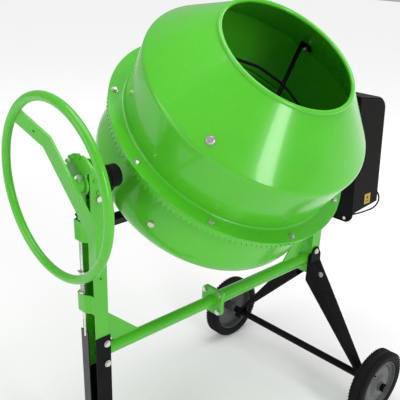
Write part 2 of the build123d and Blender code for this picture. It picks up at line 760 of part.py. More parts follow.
def right_post():
    """Right post: its outer edges are turned in to carry the motor plate."""
    post = channel(RIGHT_POST_INNER, RIGHT_POST_OUTER, POST_HALF_W, RIGHT_POST_FOOT, POST_TOP, POST_SHEET)
    lips = [box_between((RIGHT_POST_OUTER - POST_SHEET, RIGHT_POST_OUTER), span, (RIGHT_POST_FOOT, POST_TOP))
            for span in ((-POST_HALF_W, -8), (8, POST_HALF_W))]
    post = merged([post, *lips])
    window = box_between((RIGHT_POST_OUTER - 4, RIGHT_POST_OUTER + 1), (-24, 24), (-38, POST_TOP + 1))
    shaft_hole = rod_between((RIGHT_POST_INNER - 5, 0, 0), (RIGHT_POST_INNER + 5, 0, 0), SLEEVE_OD + 4)
    x, z = right_leg_bolt()
    holes = [bolt_hole((x, -34, z), (0, 1, 0), 68), bolt_hole((425, -32, -33), (0, 1, 0), 64)]
    return post.cut(window, shaft_hole, *holes, *post_bolt_holes())


def trunnion_bushes():
    """Bearing blocks inside the tops of both posts."""
    half = POST_HALF_W - POST_SHEET
    left = box_between((-POST_OUTER + 2, -POST_INNER - POST_SHEET), (-half, half), (-24, 24))
    left = left - rod_between((-POST_OUTER, 0, 0), (-POST_INNER, 0, 0), TILT_SHAFT_D + 2 * RUNNING)
    lug = box_between((-415, -401), (-half, half), (-40, -23))
    left = merged([left, lug]) - bolt_hole((-408, -32, -33), (0, 1, 0), 64)
    right = box_between((RIGHT_POST_INNER + POST_SHEET, RIGHT_POST_OUTER - 5), (-half, half), (-27, 27))
    right = right - rod_between((RIGHT_POST_INNER, 0, 0), (RIGHT_POST_OUTER, 0, 0), SLEEVE_OD + 2 * RUNNING)
    lug = box_between((418, 432), (-half, half), (-40, -26))
    right = merged([right, lug]) - bolt_hole((425, -32, -33), (0, 1, 0), 64)
    return group([left, right])


def gusset(post_x, top_z, toe_x, tube_d, direction):
    """Corner plate between a post and the cross tube, with an open inner corner."""
    tube_top = CROSS_TUBE_Z + tube_d / 2
    inner_top = top_z - 66
    points = [(post_x, top_z), (toe_x, tube_top), (post_x + direction * 34, tube_top), (post_x, inner_top)]
    return extrude(Plane.XZ * make_face(Polyline(*points, close=True)), 2.5, both=True)


def post_gussets():
    left = gusset(-POST_INNER, -330, -276, LEFT_TUBE_D, 1)
    right = gusset(RIGHT_POST_INNER, -290, 300, RIGHT_TUBE_D, -1)
    tubes = [rod_between((-POST_INNER, 0, CROSS_TUBE_Z), (0, 0, CROSS_TUBE_Z), LEFT_TUBE_D),
             rod_between((0, 0, CROSS_TUBE_Z), (RIGHT_POST_INNER, 0, CROSS_TUBE_Z), RIGHT_TUBE_D)]
    return group([left.cut(*tubes), right.cut(*tubes)])


def joint_bolt_points():
    half = JOINT_BOLT_PITCH / 2
    return [(a * half, CROSS_TUBE_Z + b * half) for a in (-1, 1) for b in (-1, 1)]


def joint_plate(start, hole_d):
    """Square flange plate with rounded corners, across the cross tube."""
    plane = Plane.YZ.offset(start) * Pos(0, CROSS_TUBE_Z)
    plate = extrude(plane * (RectangleRounded(JOINT_PLATE, JOINT_PLATE, 13) - Circle(hole_d / 2)), JOINT_SHEET)
    return plate.cut(*[bolt_hole((start, y, z), (1, 0, 0), JOINT_SHEET) for y, z in joint_bolt_points()])


def cross_tube_left():
    end = JOINT_X - JOINT_SHEET
    tube = tube_between((-POST_INNER, 0, CROSS_TUBE_Z), (JOINT_X, 0, CROSS_TUBE_Z),
                        LEFT_TUBE_D, LEFT_TUBE_D - 2 * TUBE_WALL)
    return merged([tube, joint_plate(end, LEFT_TUBE_D - 2 * TUBE_WALL)])


def cross_tube_right():
    tube = tube_between((JOINT_X, 0, CROSS_TUBE_Z), (RIGHT_POST_INNER, 0, CROSS_TUBE_Z),
                        RIGHT_TUBE_D, RIGHT_TUBE_D - 2 * TUBE_WALL)
    return merged([tube, joint_plate(JOINT_X, RIGHT_TUBE_D - 2 * TUBE_WALL)])


def cross_flange_bolts():
    start = JOINT_X - JOINT_SHEET
    return group([bolt((start, y, z), (1, 0, 0), 2 * JOINT_SHEET, 8, 17) for y, z in joint_bolt_points()])


LEG_SHEET = 3.0
LEG_TOP = -402.0


def wheel_leg(side):
    """Tapered channel leg from the right post down to the axle; side is -1 or 1."""
    back = POST_HALF_W
    axle_z = WHEEL_R - TILT_AXIS_HEIGHT
    outer = [(back + 5, LEG_TOP), (back + 7, -452), (56, -484), (258, -760), (276, -786), (276, -794)]
    inner = [(250, -794), (244, -754), (20, -517), (20, -433), (back + 2, LEG_TOP)]
    web = [(y - LEG_SHEET, z) for y, z in outer]
    front = [(404, LEG_TOP - 26), (410, LEG_TOP - 8), (416, LEG_TOP), (434, LEG_TOP), (440, LEG_TOP - 6),
             (452, LEG_TOP - 28), (452, -520), (441, -794), (409, -794), (404, -520)]
    room = [(404 + LEG_SHEET, LEG_TOP + 1), (452 - LEG_SHEET, LEG_TOP + 1), (452 - LEG_SHEET, -520),
            (441 - LEG_SHEET, -795), (409 + LEG_SHEET, -795), (404 + LEG_SHEET, -520)]
    solid = polygon_in(Plane.YZ.offset(400), [(side * y, z) for y, z in outer + inner], 56)
    solid = solid & extrude(Plane.XZ * make_face(Polyline(*front, close=True)), 400, both=True)
    void_points = web + [(200, -796), (-40, -796), (-40, LEG_TOP + 2), (web[0][0], LEG_TOP + 2)]
    void = polygon_in(Plane.YZ.offset(400), [(side * y, z) for y, z in void_points], 56)
    void = void & extrude(Plane.XZ * make_face(Polyline(*room, close=True)), 400, both=True)
    post = box_between((RIGHT_POST_INNER - 0.3, RIGHT_POST_OUTER), (-back, back), (RIGHT_POST_FOOT, POST_TOP))
    axle_hole = rod_between((WHEEL_X, side * 200, axle_z), (WHEEL_X, side * 290, axle_z), AXLE_D)
    x, z = right_leg_bolt()
    bolt_cut = rod_between((x, side * 20, z), (x, side * 40, z), 8.6)
    return (solid - void).cut(post, axle_hole, bolt_cut, brace_bolt_hole(side))


def brace_bolt_line(side):
    """Place and direction of the lower bolt, square to the leg's sloping web."""
    normal = Vector(0, side * 0.807, 0.59)
    return Vector(WHEEL_X, side * 60, -489.5) + normal * 0.3, normal * -1


def brace_bolt_hole(side):
    start, inward = brace_bolt_line(side)
    return bolt_hole(tuple(start), tuple(inward), 4)


def stand_bolts():
    bolts = []
    for x, z in left_leg_bolts():
        bolts.append(bolt((x, -LEFT_LEG_HALF, z), (0, 1, 0), 2 * LEFT_LEG_HALF, 8, 18))
    bolts.append(bolt((-408, -POST_HALF_W, -33), (0, 1, 0), 2 * POST_HALF_W, 8))
    bolts.append(bolt((425, -POST_HALF_W, -33), (0, 1, 0), 2 * POST_HALF_W, 8))
    x, z = right_leg_bolt()
    bolts.append(bolt((x, -POST_HALF_W - 5.8, z), (0, 1, 0), 2 * POST_HALF_W + 11.6, 8, 18))
    for side in (-1, 1):
        start, inward = brace_bolt_line(side)
        bolts.append(bolt(tuple(start), tuple(inward), LEG_SHEET + 0.6, 8, 18))
    for z in post_bolt_points():
        for side in (-1, 1):
            start = RIGHT_POST_OUTER - POST_SHEET
            bolts.append(bolt((start, side * 17, z), (1, 0, 0), 2 * POST_SHEET, 6))
    return group(bolts)


def wheel_axle():
    z = WHEEL_R - TILT_AXIS_HEIGHT
    end = WHEEL_Y + TYRE_W / 2 + 6
    tube = rod_between((WHEEL_X, -WHEEL_Y + 27.5, z), (WHEEL_X, WHEEL_Y - 27.5, z), AXLE_D)
    journal = rod_between((WHEEL_X, -end, z), (WHEEL_X, end, z), JOURNAL_D)
    return merged([tube, journal])


def axle_caps():
    """Domed caps pressed on both axle ends."""
    z = WHEEL_R - TILT_AXIS_HEIGHT
    end = WHEEL_Y + TYRE_W / 2
    caps = []
    for side in (-1, 1):
        cap = rod_between((WHEEL_X, side * (end + 0.8), z), (WHEEL_X, side * CAP_END, z), 27)
        bore = rod_between((WHEEL_X, side * end, z), (WHEEL_X, side * (end + 6), z), JOURNAL_D)
        caps.append(cap - bore)
    return group(caps)


def wheel_place(side):
    return Pos(WHEEL_X, side * WHEEL_Y, WHEEL_R - TILT_AXIS_HEIGHT)


def tyre(side):
    half = TYRE_W / 2
    outline = [(RIM_R, -half + 7), (RIM_R + 8, -half + 1), (RIM_R + 14, -half), (WHEEL_R - 9, -half + 1),
               (WHEEL_R - 2, -half + 9), (WHEEL_R, -half + 17), (WHEEL_R, half - 17),
               (WHEEL_R - 2, half - 9), (WHEEL_R - 9, half - 1), (RIM_R + 14, half),
               (RIM_R + 8, half - 1), (RIM_R, half - 7)]
    face = Plane.XZ * make_face(Polyline(*outline, close=True))
    return wheel_place(side) * (Rot(90, 0, 0) * revolved(face))


def rim(side):
    """Pressed steel rim with its hub tube; the dish faces outwards."""
    half = TYRE_W / 2
    line = [(RIM_R - 1.25, half - 7.1), (RIM_R - 1.25, half - 16), (RIM_R - 12, half - 18), (62, half - 12),
            (40, half - 12), (26, half - 4), (16, half - 4)]
    disc = revolved(Plane.XZ * trace(Polyline(*line), 2.5))
    barrel = revolved(Plane.XZ * (Pos(RIM_R - 1.25, 0) * Rectangle(2.5, TYRE_W - 14.2)))
    hub = revolved(Plane.XZ * (Pos((17 + JOURNAL_D / 2 + RUNNING) / 2, 0) *
                               Rectangle(17 - JOURNAL_D / 2 - RUNNING, TYRE_W)))
    body = merged([disc, barrel, hub])
    turn = 90 if side < 0 else -90
    return wheel_place(side) * (Rot(turn, 0, 0) * body)


LEFT_LEG_HALF = POST_HALF_W + 2.7
LEG_FOOT_Z = -846.0


def front_leg():
    """Black channel leg outside the left post's lower end."""
    leg = channel(-POST_INNER + 2.8, -POST_OUTER - 3, LEFT_LEG_HALF, LEG_FOOT_Z, -389, 2.5)
    slot = box_between((-POST_INNER - 1, -POST_INNER + 4), (-18, 18), (-480, -388))
    holes = [bolt_hole((x, -34, z), (0, 1, 0), 68) for x, z in left_leg_bolts()]
    pin_hole = rod_between((PEDAL_PIVOT_X, -40, PEDAL_PIVOT_Z), (PEDAL_PIVOT_X, 40, PEDAL_PIVOT_Z), 10)
    return leg.cut(slot, pin_hole, *holes)


def foot_bar():
    x = (-POST_OUTER - POST_INNER) / 2
    bar = box_between((x - 20, x + 20), (-225, 225), (-884, LEG_FOOT_Z))
    return bar - box_between((x - 17.5, x + 17.5), (-226, 226), (-881.5, LEG_FOOT_Z - 2.5))


def foot_pads():
    x = (-POST_OUTER - POST_INNER) / 2
    pads = []
    for side in (-1, 1):
        span = sorted((side * 180, side * 229))
        pad = box_between((x - 23.5, x + 23.5), span, (-888, LEG_FOOT_Z + 3.5))
        pad = fillet(pad.edges(), 2)
        pads.append(pad - box_between((x - 20, x + 20), (-225, 225), (-884, LEG_FOOT_Z)))
    return group(pads)


# --- tilt lock ----------------------------------------------------------------


def rod_guide(z_high, z_low):
    """Hat-section guide welded across the left post's open side."""
    outer = -POST_OUTER
    line = FilletPolyline((outer - 1.3, -27, 0), (outer - 1.3, -17, 0), (outer - 12, -3, 0),
                          (outer - 12, 23, 0), (outer - 1.3, 27, 0), radius=[2, 2, 2])
    return Pos(0, 0, z_low) * extrude(trace(line, 2.4), z_high - z_low)


def rod_guides():
    return group([rod_guide(-88, -136), rod_guide(-272, -320)])


ROD_TOP = -66.2
ROD_FOOT = -392.0


def lock_rod():
    """Round lock rod; its top enters a notch of the sector."""
    rod = rod_between((STRAP_X, ROD_Y, ROD_FOOT), (STRAP_X, ROD_Y, ROD_TOP), ROD_D)
    sleeve = rod_between((STRAP_X, ROD_Y, -343), (STRAP_X, ROD_Y, -323), 11)
    return merged([rod, sleeve])


def rod_collars():
    """Washers and split pins on the lock rod."""
    x = STRAP_X
    washer = tube_between((x, ROD_Y, -218), (x, ROD_Y, -216), 19, ROD_D)
    pin = rod_between((x - 11, ROD_Y, -213), (x + 8, ROD_Y, -213), 2.6)
    eye = rod_between((x - 11, ROD_Y - 3, -213), (x - 11, ROD_Y + 3, -213), 4)
    return group([washer, merged([pin, eye]) - rod_between((x, ROD_Y, -230), (x, ROD_Y, -200), ROD_D)])


SPRING_TOP = -218.0
SPRING_FOOT = -268.0


def lock_spring():
    return tube_between((STRAP_X, ROD_Y, SPRING_FOOT), (STRAP_X, ROD_Y, SPRING_TOP), 14.5, ROD_D + 2)


def spring_seat():
    """Washer on the lower guide, under the spring."""
    return tube_between((STRAP_X, ROD_Y, -272), (STRAP_X, ROD_Y, SPRING_FOOT), 19, ROD_D + 1)


def pull_strap():
    """Flat pull bar from the lock rod down to the pedal."""
    strap = box_between((STRAP_X - 1.5, STRAP_X + 1.5), (-1, 26.5), (-815, -378))
    rod = rod_between((STRAP_X, ROD_Y, ROD_FOOT), (STRAP_X, ROD_Y, ROD_TOP), ROD_D)
    slot = rod_between((STRAP_X, ROD_Y, -800), (STRAP_X, ROD_Y, -799), 14)
    window = box_between((STRAP_X - 3, STRAP_X + 3), (2, 22), (-808, -790))
    return strap.cut(rod, window, slot)


def foot_pedal():
    """Pedal lever on its cross pin, with a lifting finger through the strap's window."""
    x = PEDAL_PIVOT_X
    z = PEDAL_PIVOT_Z
    barrel = rod_between((x, -26, z), (x, 26, z), 18)
    arms = [box_between((-506, x), span, (z - 7, z + 7)) for span in ((-9, -4),)]
    finger = box_between((-452, x), (8, 16), (z - 3.5, z + 3.5))
    tread = box_between((-508, -446), (-42, 42), (z - 11, z - 7))
    link = box_between((-455, -446), (-10, 17), (z - 8, z + 3))
    body = merged([barrel, *arms, finger, tread, link])
    return body - rod_between((x, -40, z), (x, 40, z), 10 + 2 * RUNNING)


def pedal_pin():
    z = PEDAL_PIVOT_Z
    pin = rod_between((PEDAL_PIVOT_X, -34, z), (PEDAL_PIVOT_X, 34, z), 10)
    head = rod_between((PEDAL_PIVOT_X, -37, z), (PEDAL_PIVOT_X, -LEFT_LEG_HALF - 0.1, z), 15)
    return merged([pin, head])


# --- electrics ----------------------------------------------------------------

SWITCH_Y = (-84.0, 16.0)
SWITCH_Z = (-170.0, -50.0)
BUTTON_R = 13.0


def button_places():
    middle = (SWITCH_Y[0] + SWITCH_Y[1]) / 2
    return {"start_button": (middle, -85.0), "stop_button": (middle, -132.0)}


def switch_box():
    outer = box_between((HOUSING_X1, HOUSING_X1 + SWITCH_DEPTH), SWITCH_Y, SWITCH_Z)
    edges = outer.edges().filter_by(lambda e: e.center().X > HOUSING_X1 + 1)
    outer = fillet(edges, 5)
    face = HOUSING_X1 + SWITCH_DEPTH
    pockets = [rod_between((HOUSING_X1 + 18, y, z), (face + 1, y, z), 2 * BUTTON_R + 0.8)
               for y, z in button_places().values()]
    middle = HOUSING_X1 + 17
    inlet = rod_between((middle, SWITCH_Y[1] - 1, -110), (middle, SWITCH_Y[1] + 8, -110), 24)
    return merged([outer, inlet]).cut(*pockets, gland_bore(box_gland()))


def button(name):
    y, z = button_places()[name]
    face = HOUSING_X1 + SWITCH_DEPTH
    stem = rod_between((face - 10, y, z), (face + BUTTON_STAND, y, z), 2 * BUTTON_R)
    top = stem.faces().sort_by(Axis.X)[-1]
    return fillet(top.edges(), 1.5)


def switch_holes():
    y = SWITCH_Y[0] + 40
    return [rod_between((HOUSING_X1 - 10, y, -110), (HOUSING_X1 + 1, y, -110), 14)]


LEAD_D = 5.0


def cover_gland():
    """Mouth and direction of the gland under the cover."""
    return (476.0, -36.0, HOUSING_FOOT_Z + 2.0)


def box_gland():
    """Mouth of the gland under the switch box."""
    return (HOUSING_X1 + 16, SWITCH_Y[0] + 14, SWITCH_Z[0])


def gland_hole():
    x, y, z = cover_gland()
    return rod_between((x, y, z - 10), (x, y, z + 10), 14)


def gland_bore(point):
    x, y, z = point
    return rod_between((x, y, z - 1), (x, y, z + 10), 14)


def gland(point):
    """Threaded gland with a hexagon and a tapered nose, mouth down."""
    x, y, z = point
    stem = rod_between((x, y, z), (x, y, z + 9), 13.6)
    hexagon = hex_head(Plane.XY.offset(z - 6) * Pos(x, y), 19, 5.5)
    nose = Pos(x, y, z - 10) * Cone(5.5, 8.5, 8)
    bore = rod_between((x, y, z - 20), (x, y, z + 10), LEAD_D)
    return merged([stem, hexagon, nose]) - bore


def cable_glands():
    return group([gland(cover_gland()), gland(box_gland())])


def lead_route():
    """The lead's route: down from one gland, a slack loop, up into the other."""
    ax, ay, az = cover_gland()
    bx, by, bz = box_gland()
    slack = [(482, -41, -296), (498, -53, -307), (524, -73, -304), (553, -91, -298), (583, -103, -291),
             (596, -109, -286), (605, -113, -276), (610, -115, -264), (611, -113, -249), (609, -105, -235),
             (606, -93, -225), (606, -80, -212), (606, -72, -199)]
    return [(ax, ay, az + 5), (ax, ay, az - 18), *slack, (bx, by, bz - 14), (bx, by, bz + 5)]


def power_lead():
    points = lead_route()
    radii = []
    for before, here, after in zip(points, points[1:], points[2:]):
        run_in = Vector(*here) - Vector(*before)
        run_out = Vector(*after) - Vector(*here)
        turn = radians(run_in.get_angle(run_out))
        radii.append(0.45 * min(run_in.length, run_out.length) / tan(turn / 2))
    print("lead radii", [round(r, 1) for r in radii])
    path = FilletPolyline(*points, radius=radii)
    tube = sweep(Plane(origin=path @ 0, z_dir=path % 0) * Circle(LEAD_D / 2), path=path)
    print("lead length", round(path.length, 1), "volume", round(tube.volume, 1))
    return tube


def rating_label():
    """Thin blank label low on the cover's front face."""
    z = -232.0
    slope = degrees(atan2(HOUSING_FOOT_HALF - HOUSING_TOP_HALF, HOUSING_TOP_Z - HOUSING_FOOT_Z))
    label = Rot(-slope, 0, 0) * Box(31, 0.6, 32)
    return Pos(523, -housing_half(z) - 0.35, z) * label


# --- build --------------------------------------------------------------------


def main():
    os.makedirs("parts", exist_ok=True)
    drum = {"upper_drum": upper_drum, "lower_drum": lower_drum, "waist_seal": waist_seal,
            "ring_gear": ring_gear, "waist_bolts": waist_bolts, "mixing_blade_first": mixing_blade_first,
            "mixing_blade_second": mixing_blade_second, "blade_bolts": blade_bolts,
            "drum_hub": drum_hub, "spindle_bearings": spindle_bearings, "yoke": yoke,
            "drum_spindle": drum_spindle, "handwheel_hub": handwheel_hub,
            "hub_clamp_bolt": hub_clamp_bolt, "pinion": pinion}
    for name, make in drum.items():
        save(name, lean(make()))
    upright = {"handwheel_ring": handwheel_ring, "handwheel_spoke": handwheel_spoke,
               "lock_sector": lock_sector, "shaft_bearings": shaft_bearings,
               "pinion_shaft": pinion_shaft, "large_pulley": large_pulley, "drive_belt": drive_belt,
               "motor_shaft": motor_shaft, "motor_body": motor_body, "motor_plate": motor_plate,
               "motor_cover": motor_cover, "cover_screws": cover_screws, "left_post": left_post,
               "right_post": right_post, "trunnion_bushes": trunnion_bushes, "post_gussets": post_gussets,
               "cross_tube_left": cross_tube_left, "cross_tube_right": cross_tube_right,
               "cross_flange_bolts": cross_flange_bolts, "stand_bolts": stand_bolts,
               "wheel_axle": wheel_axle, "axle_caps": axle_caps, "front_leg": front_leg,
               "foot_bar": foot_bar, "foot_pads": foot_pads, "rod_guides": rod_guides,
               "lock_rod": lock_rod, "rod_collars": rod_collars, "lock_spring": lock_spring,
               "spring_seat": spring_seat, "pull_strap": pull_strap, "foot_pedal": foot_pedal,
               "pedal_pin": pedal_pin, "switch_box": switch_box, "cable_glands": cable_glands,
               "power_lead": power_lead, "rating_label": rating_label}
    for name, make in upright.items():
        save(name, make())
    for word, side in (("near", -1), ("far", 1)):
        save(f"{word}_wheel_leg", wheel_leg(side))
        save(f"{word}_tyre", tyre(side))
        save(f"{word}_rim", rim(side))
    for name in button_places():
        save(name, button(name))


main()
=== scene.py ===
import json
from math import cos, pi, radians, sin, tan, tau

import bmesh
import bpy
from mathutils import Matrix, Vector


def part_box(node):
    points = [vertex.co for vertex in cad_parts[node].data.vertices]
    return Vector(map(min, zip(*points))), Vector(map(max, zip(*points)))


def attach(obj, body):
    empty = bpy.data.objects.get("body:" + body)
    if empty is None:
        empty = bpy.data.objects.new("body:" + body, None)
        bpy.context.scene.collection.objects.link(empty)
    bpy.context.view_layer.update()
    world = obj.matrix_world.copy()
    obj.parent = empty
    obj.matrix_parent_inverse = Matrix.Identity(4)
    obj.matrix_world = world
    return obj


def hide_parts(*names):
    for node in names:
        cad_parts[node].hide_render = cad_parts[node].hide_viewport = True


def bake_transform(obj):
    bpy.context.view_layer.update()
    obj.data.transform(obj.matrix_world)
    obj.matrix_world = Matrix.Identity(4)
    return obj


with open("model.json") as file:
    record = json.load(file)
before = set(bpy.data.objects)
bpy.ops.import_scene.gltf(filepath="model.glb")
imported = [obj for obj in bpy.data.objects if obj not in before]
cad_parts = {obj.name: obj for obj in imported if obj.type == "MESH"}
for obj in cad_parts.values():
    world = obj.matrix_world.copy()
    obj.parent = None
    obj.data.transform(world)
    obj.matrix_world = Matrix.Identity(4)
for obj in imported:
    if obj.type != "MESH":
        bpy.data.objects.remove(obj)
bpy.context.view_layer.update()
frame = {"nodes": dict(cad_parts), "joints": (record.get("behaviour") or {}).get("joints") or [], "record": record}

bl_info = {
    "name": "Tilting-drum concrete mixer",
    "version": (1, 0, 0),
    "blender": (4, 5, 0),
    "location": "3D View > Sidebar > Mixer",
    "description": "Adds the finished surfaces and fittings of a concrete mixer round its frame",
    "category": "Add Mesh",
}

RECORD = frame["record"]
NODES = frame["nodes"]
JOINTS = {joint["name"]: joint for joint in frame["joints"]}

MM = 0.001

# drum section, measured from the tilt axis along and across the drum's axis
DRUM_SHEET = 2.5 * MM
FLANGE_R = 325 * MM
FLANGE_TOP = 50.5 * MM
WALL_FOOT_R = 283 * MM
CREASE = (294 * MM, 190 * MM)
MOUTH = (169 * MM, 311 * MM)
BEAD_R = 5.5 * MM
BOWL_FLANGE_R = 323 * MM
BOWL_FLANGE = 45.25 * MM
BOWL_TOP_R = 285 * MM
BELLY = (309 * MM, -112 * MM)
BOWL_FLOOR = (203 * MM, -205 * MM)
WAIST_BOLT_R = 310 * MM
WAIST_BOLTS = 9
# degrees round the axis of the first waist bolt and of the first mixing bar's fixings
FIRST_TURN = 22.0
# heights of the mixing bars' fixings
CONE_FIXING = 210 * MM
BOWL_FIXING = -64 * MM
# the stand's cross tubes, and half a tyre's width in millimetres
LEFT_TUBE_R = 16.7 * MM
RIGHT_TUBE_R = 19.4 * MM
TYRE_HALF = 24.7


# --- places read from the frame -----------------------------------------------


def middle(node):
    low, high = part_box(node)
    return (Vector(low) + Vector(high)) / 2


def drum_matrix():
    """Drum space, with Z along the drum's axis and X along the tilt axis, into the row frame."""
    joint = JOINTS["drum_spin"]
    up = Vector(joint["axis"]).normalized()
    across = Vector((1, 0, 0))
    back = up.cross(across)
    turn = Matrix((across, back, up)).transposed().to_4x4()
    return Matrix.Translation(Vector(joint["pos_m"])) @ turn


DRUM = drum_matrix()
TILT_CENTRE = Vector(JOINTS["drum_spin"]["pos_m"])


# --- meshes -------------------------------------------------------------------


def new_object(name, verts, faces, smooth=True):
    mesh = bpy.data.meshes.new(name)
    mesh.from_pydata([tuple(v) for v in verts], [], faces)
    mesh.validate()
    return finished(name, mesh, smooth)


def finished(name, mesh, smooth=True):
    """An object at the origin whose faces point outwards."""
    work = bmesh.new()
    work.from_mesh(mesh)
    bmesh.ops.remove_doubles(work, verts=work.verts, dist=1e-6)
    bmesh.ops.recalc_face_normals(work, faces=work.faces)
    work.to_mesh(mesh)
    work.free()
    mesh.polygons.foreach_set("use_smooth", [smooth] * len(mesh.polygons))
    obj = bpy.data.objects.new(name, mesh)
    bpy.context.scene.collection.objects.link(obj)
    return obj


def sharpen(obj, angle):
    """Marks the edges that turn more than the angle, so that flats stay flat."""
    obj.data.set_sharp_from_angle(angle=radians(angle))


def lathe(name, profile, segments, place, closed=True):
    """A closed outline of (radius, height) turned about Z and placed."""
    rings = len(profile)
    verts = []
    for i in range(segments):
        turn = tau * i / segments
        verts += [place @ Vector((r * cos(turn), r * sin(turn), h)) for r, h in profile]
    faces = []
    last = rings if closed else rings - 1
    for i in range(segments):
        here = i * rings
        there = (i + 1) % segments * rings
        for j in range(last):
            k = (j + 1) % rings
            faces.append((here + j, there + j, there + k, here + k))
    return new_object(name, verts, faces)


def rounded(points, radii, steps=8):
    """Corners of an open line replaced with arcs of the given radii."""
    line = [Vector(points[0])]
    for i, radius in enumerate(radii):
        before, corner, after = (Vector(points[i + k]) for k in range(3))
        if radius <= 0:
            line.append(corner)
            continue
        back = (before - corner).normalized()
        ahead = (after - corner).normalized()
        half = back.angle(ahead) / 2
        reach = min(radius / tan(half), 0.49 * min((before - corner).length, (after - corner).length))
        start = corner + back * reach
        end = corner + ahead * reach
        for step in range(steps + 1):
            share = step / steps
            a = start.lerp(corner, share)
            b = corner.lerp(end, share)
            line.append(a.lerp(b, share))
    line.append(Vector(points[-1]))
    return line


def sheet_outline(line, thickness):
    """Closed outline of a sheet whose middle runs along the line, with rounded edges."""
    left = []
    right = []
    count = len(line)
    for i, point in enumerate(line):
        ahead = line[min(i + 1, count - 1)] - line[max(i - 1, 0)]
        normal = Vector((-ahead.y, ahead.x)).normalized() * thickness / 2
        left.append(point + normal)
        right.append(point - normal)
    ahead = (line[-1] - line[-2]).normalized() * thickness / 4
    behind = (line[0] - line[1]).normalized() * thickness / 4
    tip = [left[-1].lerp(right[-1], 0.5) + ahead]
    tail = [left[0].lerp(right[0], 0.5) + behind]
    return [tuple(p) for p in left + tip + right[::-1] + tail]


def subdivided(line, longest):
    """The line with points added so that no run is longer than the limit."""
    out = [line[0]]
    for a, b in zip(line, line[1:]):
        parts = max(1, int((b - a).length / longest) + 1)
        out += [a.lerp(b, (k + 1) / parts) for k in range(parts)]
    return out


def tube_along(name, points, radius, sides=16, closed=False):
    """A round bar through the points, with flat ends."""
    verts = []
    count = len(points)
    up = Vector((0, 0, 1))
    for i, point in enumerate(points):
        if closed:
            ahead = points[(i + 1) % count] - points[i - 1]
        else:
            ahead = points[min(i + 1, count - 1)] - points[max(i - 1, 0)]
        ahead.normalize()
        if abs(ahead.dot(up)) > 0.98:
            up = Vector((0, 1, 0))
        side = ahead.cross(up).normalized()
        up = side.cross(ahead).normalized()
        for k in range(sides):
            turn = tau * k / sides
            verts.append(point + (side * cos(turn) + up * sin(turn)) * radius)
    faces = []
    for i in range(count if closed else count - 1):
        here = i * sides
        there = (i + 1) % count * sides
        for k in range(sides):
            m = (k + 1) % sides
            faces.append((here + k, here + m, there + m, there + k))
    if not closed:
        faces.append(tuple(range(sides))[::-1])
        faces.append(tuple(range((count - 1) * sides, count * sides)))
    return new_object(name, verts, faces)


# --- geometry nodes -----------------------------------------------------------


class Tree:
    """A Geometry Nodes tree with named inputs."""

    def __init__(self, name):
        self.tree = bpy.data.node_groups.new(name, "GeometryNodeTree")
        self.tree.interface.new_socket("Geometry", in_out="INPUT", socket_type="NodeSocketGeometry")
        self.tree.interface.new_socket("Geometry", in_out="OUTPUT", socket_type="NodeSocketGeometry")
        self.names = {}

    def add(self, name, kind, default):
        socket = self.tree.interface.new_socket(name, in_out="INPUT", socket_type=kind)
        if default is not None:
            socket.default_value = default
        self.names[name] = socket.identifier

    def start(self):
        self.input = self.tree.nodes.new("NodeGroupInput")
        self.output = self.tree.nodes.new("NodeGroupOutput")

    def get(self, name):
        return self.input.outputs[name]

    def node(self, kind, settings=None, inputs=None):
        made = self.tree.nodes.new(kind)
        for key, value in (settings or {}).items():
            setattr(made, key, value)
        for key, value in (inputs or {}).items():
            socket = made.inputs[key]
            if isinstance(value, bpy.types.NodeSocket):
                self.tree.links.new(value, socket)
            else:
                socket.default_value = value
        return made

    def math(self, operation, a, b=0.0):
        return self.node("ShaderNodeMath", {"operation": operation}, {0: a, 1: b}).outputs[0]

    def end(self, geometry, material):
        """Realized instances with their material, as the tree's result."""
        real = self.node("GeometryNodeRealizeInstances", None, {"Geometry": geometry})
        done = self.node("GeometryNodeSetMaterial", None, {
            "Geometry": real.outputs[0], "Material": material})
        self.tree.links.new(done.outputs[0], self.output.inputs[0])


def grown(name, base, tree, values, smooth_angle=35.0):
    """Runs a tree on a base mesh and keeps the plain result as a new object."""
    carrier = bpy.data.objects.new(name + "_carrier", base)
    bpy.context.scene.collection.objects.link(carrier)
    modifier = carrier.modifiers.new("grow", "NODES")
    modifier.node_group = tree.tree
    for key, value in values.items():
        modifier[tree.names[key]] = value
    bpy.context.view_layer.update()
    graph = bpy.context.evaluated_depsgraph_get()
    mesh = bpy.data.meshes.new_from_object(carrier.evaluated_get(graph))
    carrier.modifiers.remove(modifier)
    bpy.data.objects.remove(carrier)
    if not mesh.polygons:
        raise RuntimeError(f"{name}: the tree gave no faces")
    obj = finished(name, mesh)
    sharpen(obj, smooth_angle)
    return obj


def point_cloud(places):
    """A mesh of loose points, each with the direction that its piece faces."""
    mesh = bpy.data.meshes.new("places")
    mesh.from_pydata([tuple(p) for p, _ in places], [], [])
    facing = mesh.attributes.new("facing", "FLOAT_VECTOR", "POINT")
    for i, (_, direction) in enumerate(places):
        facing.data[i].vector = direction
    return mesh


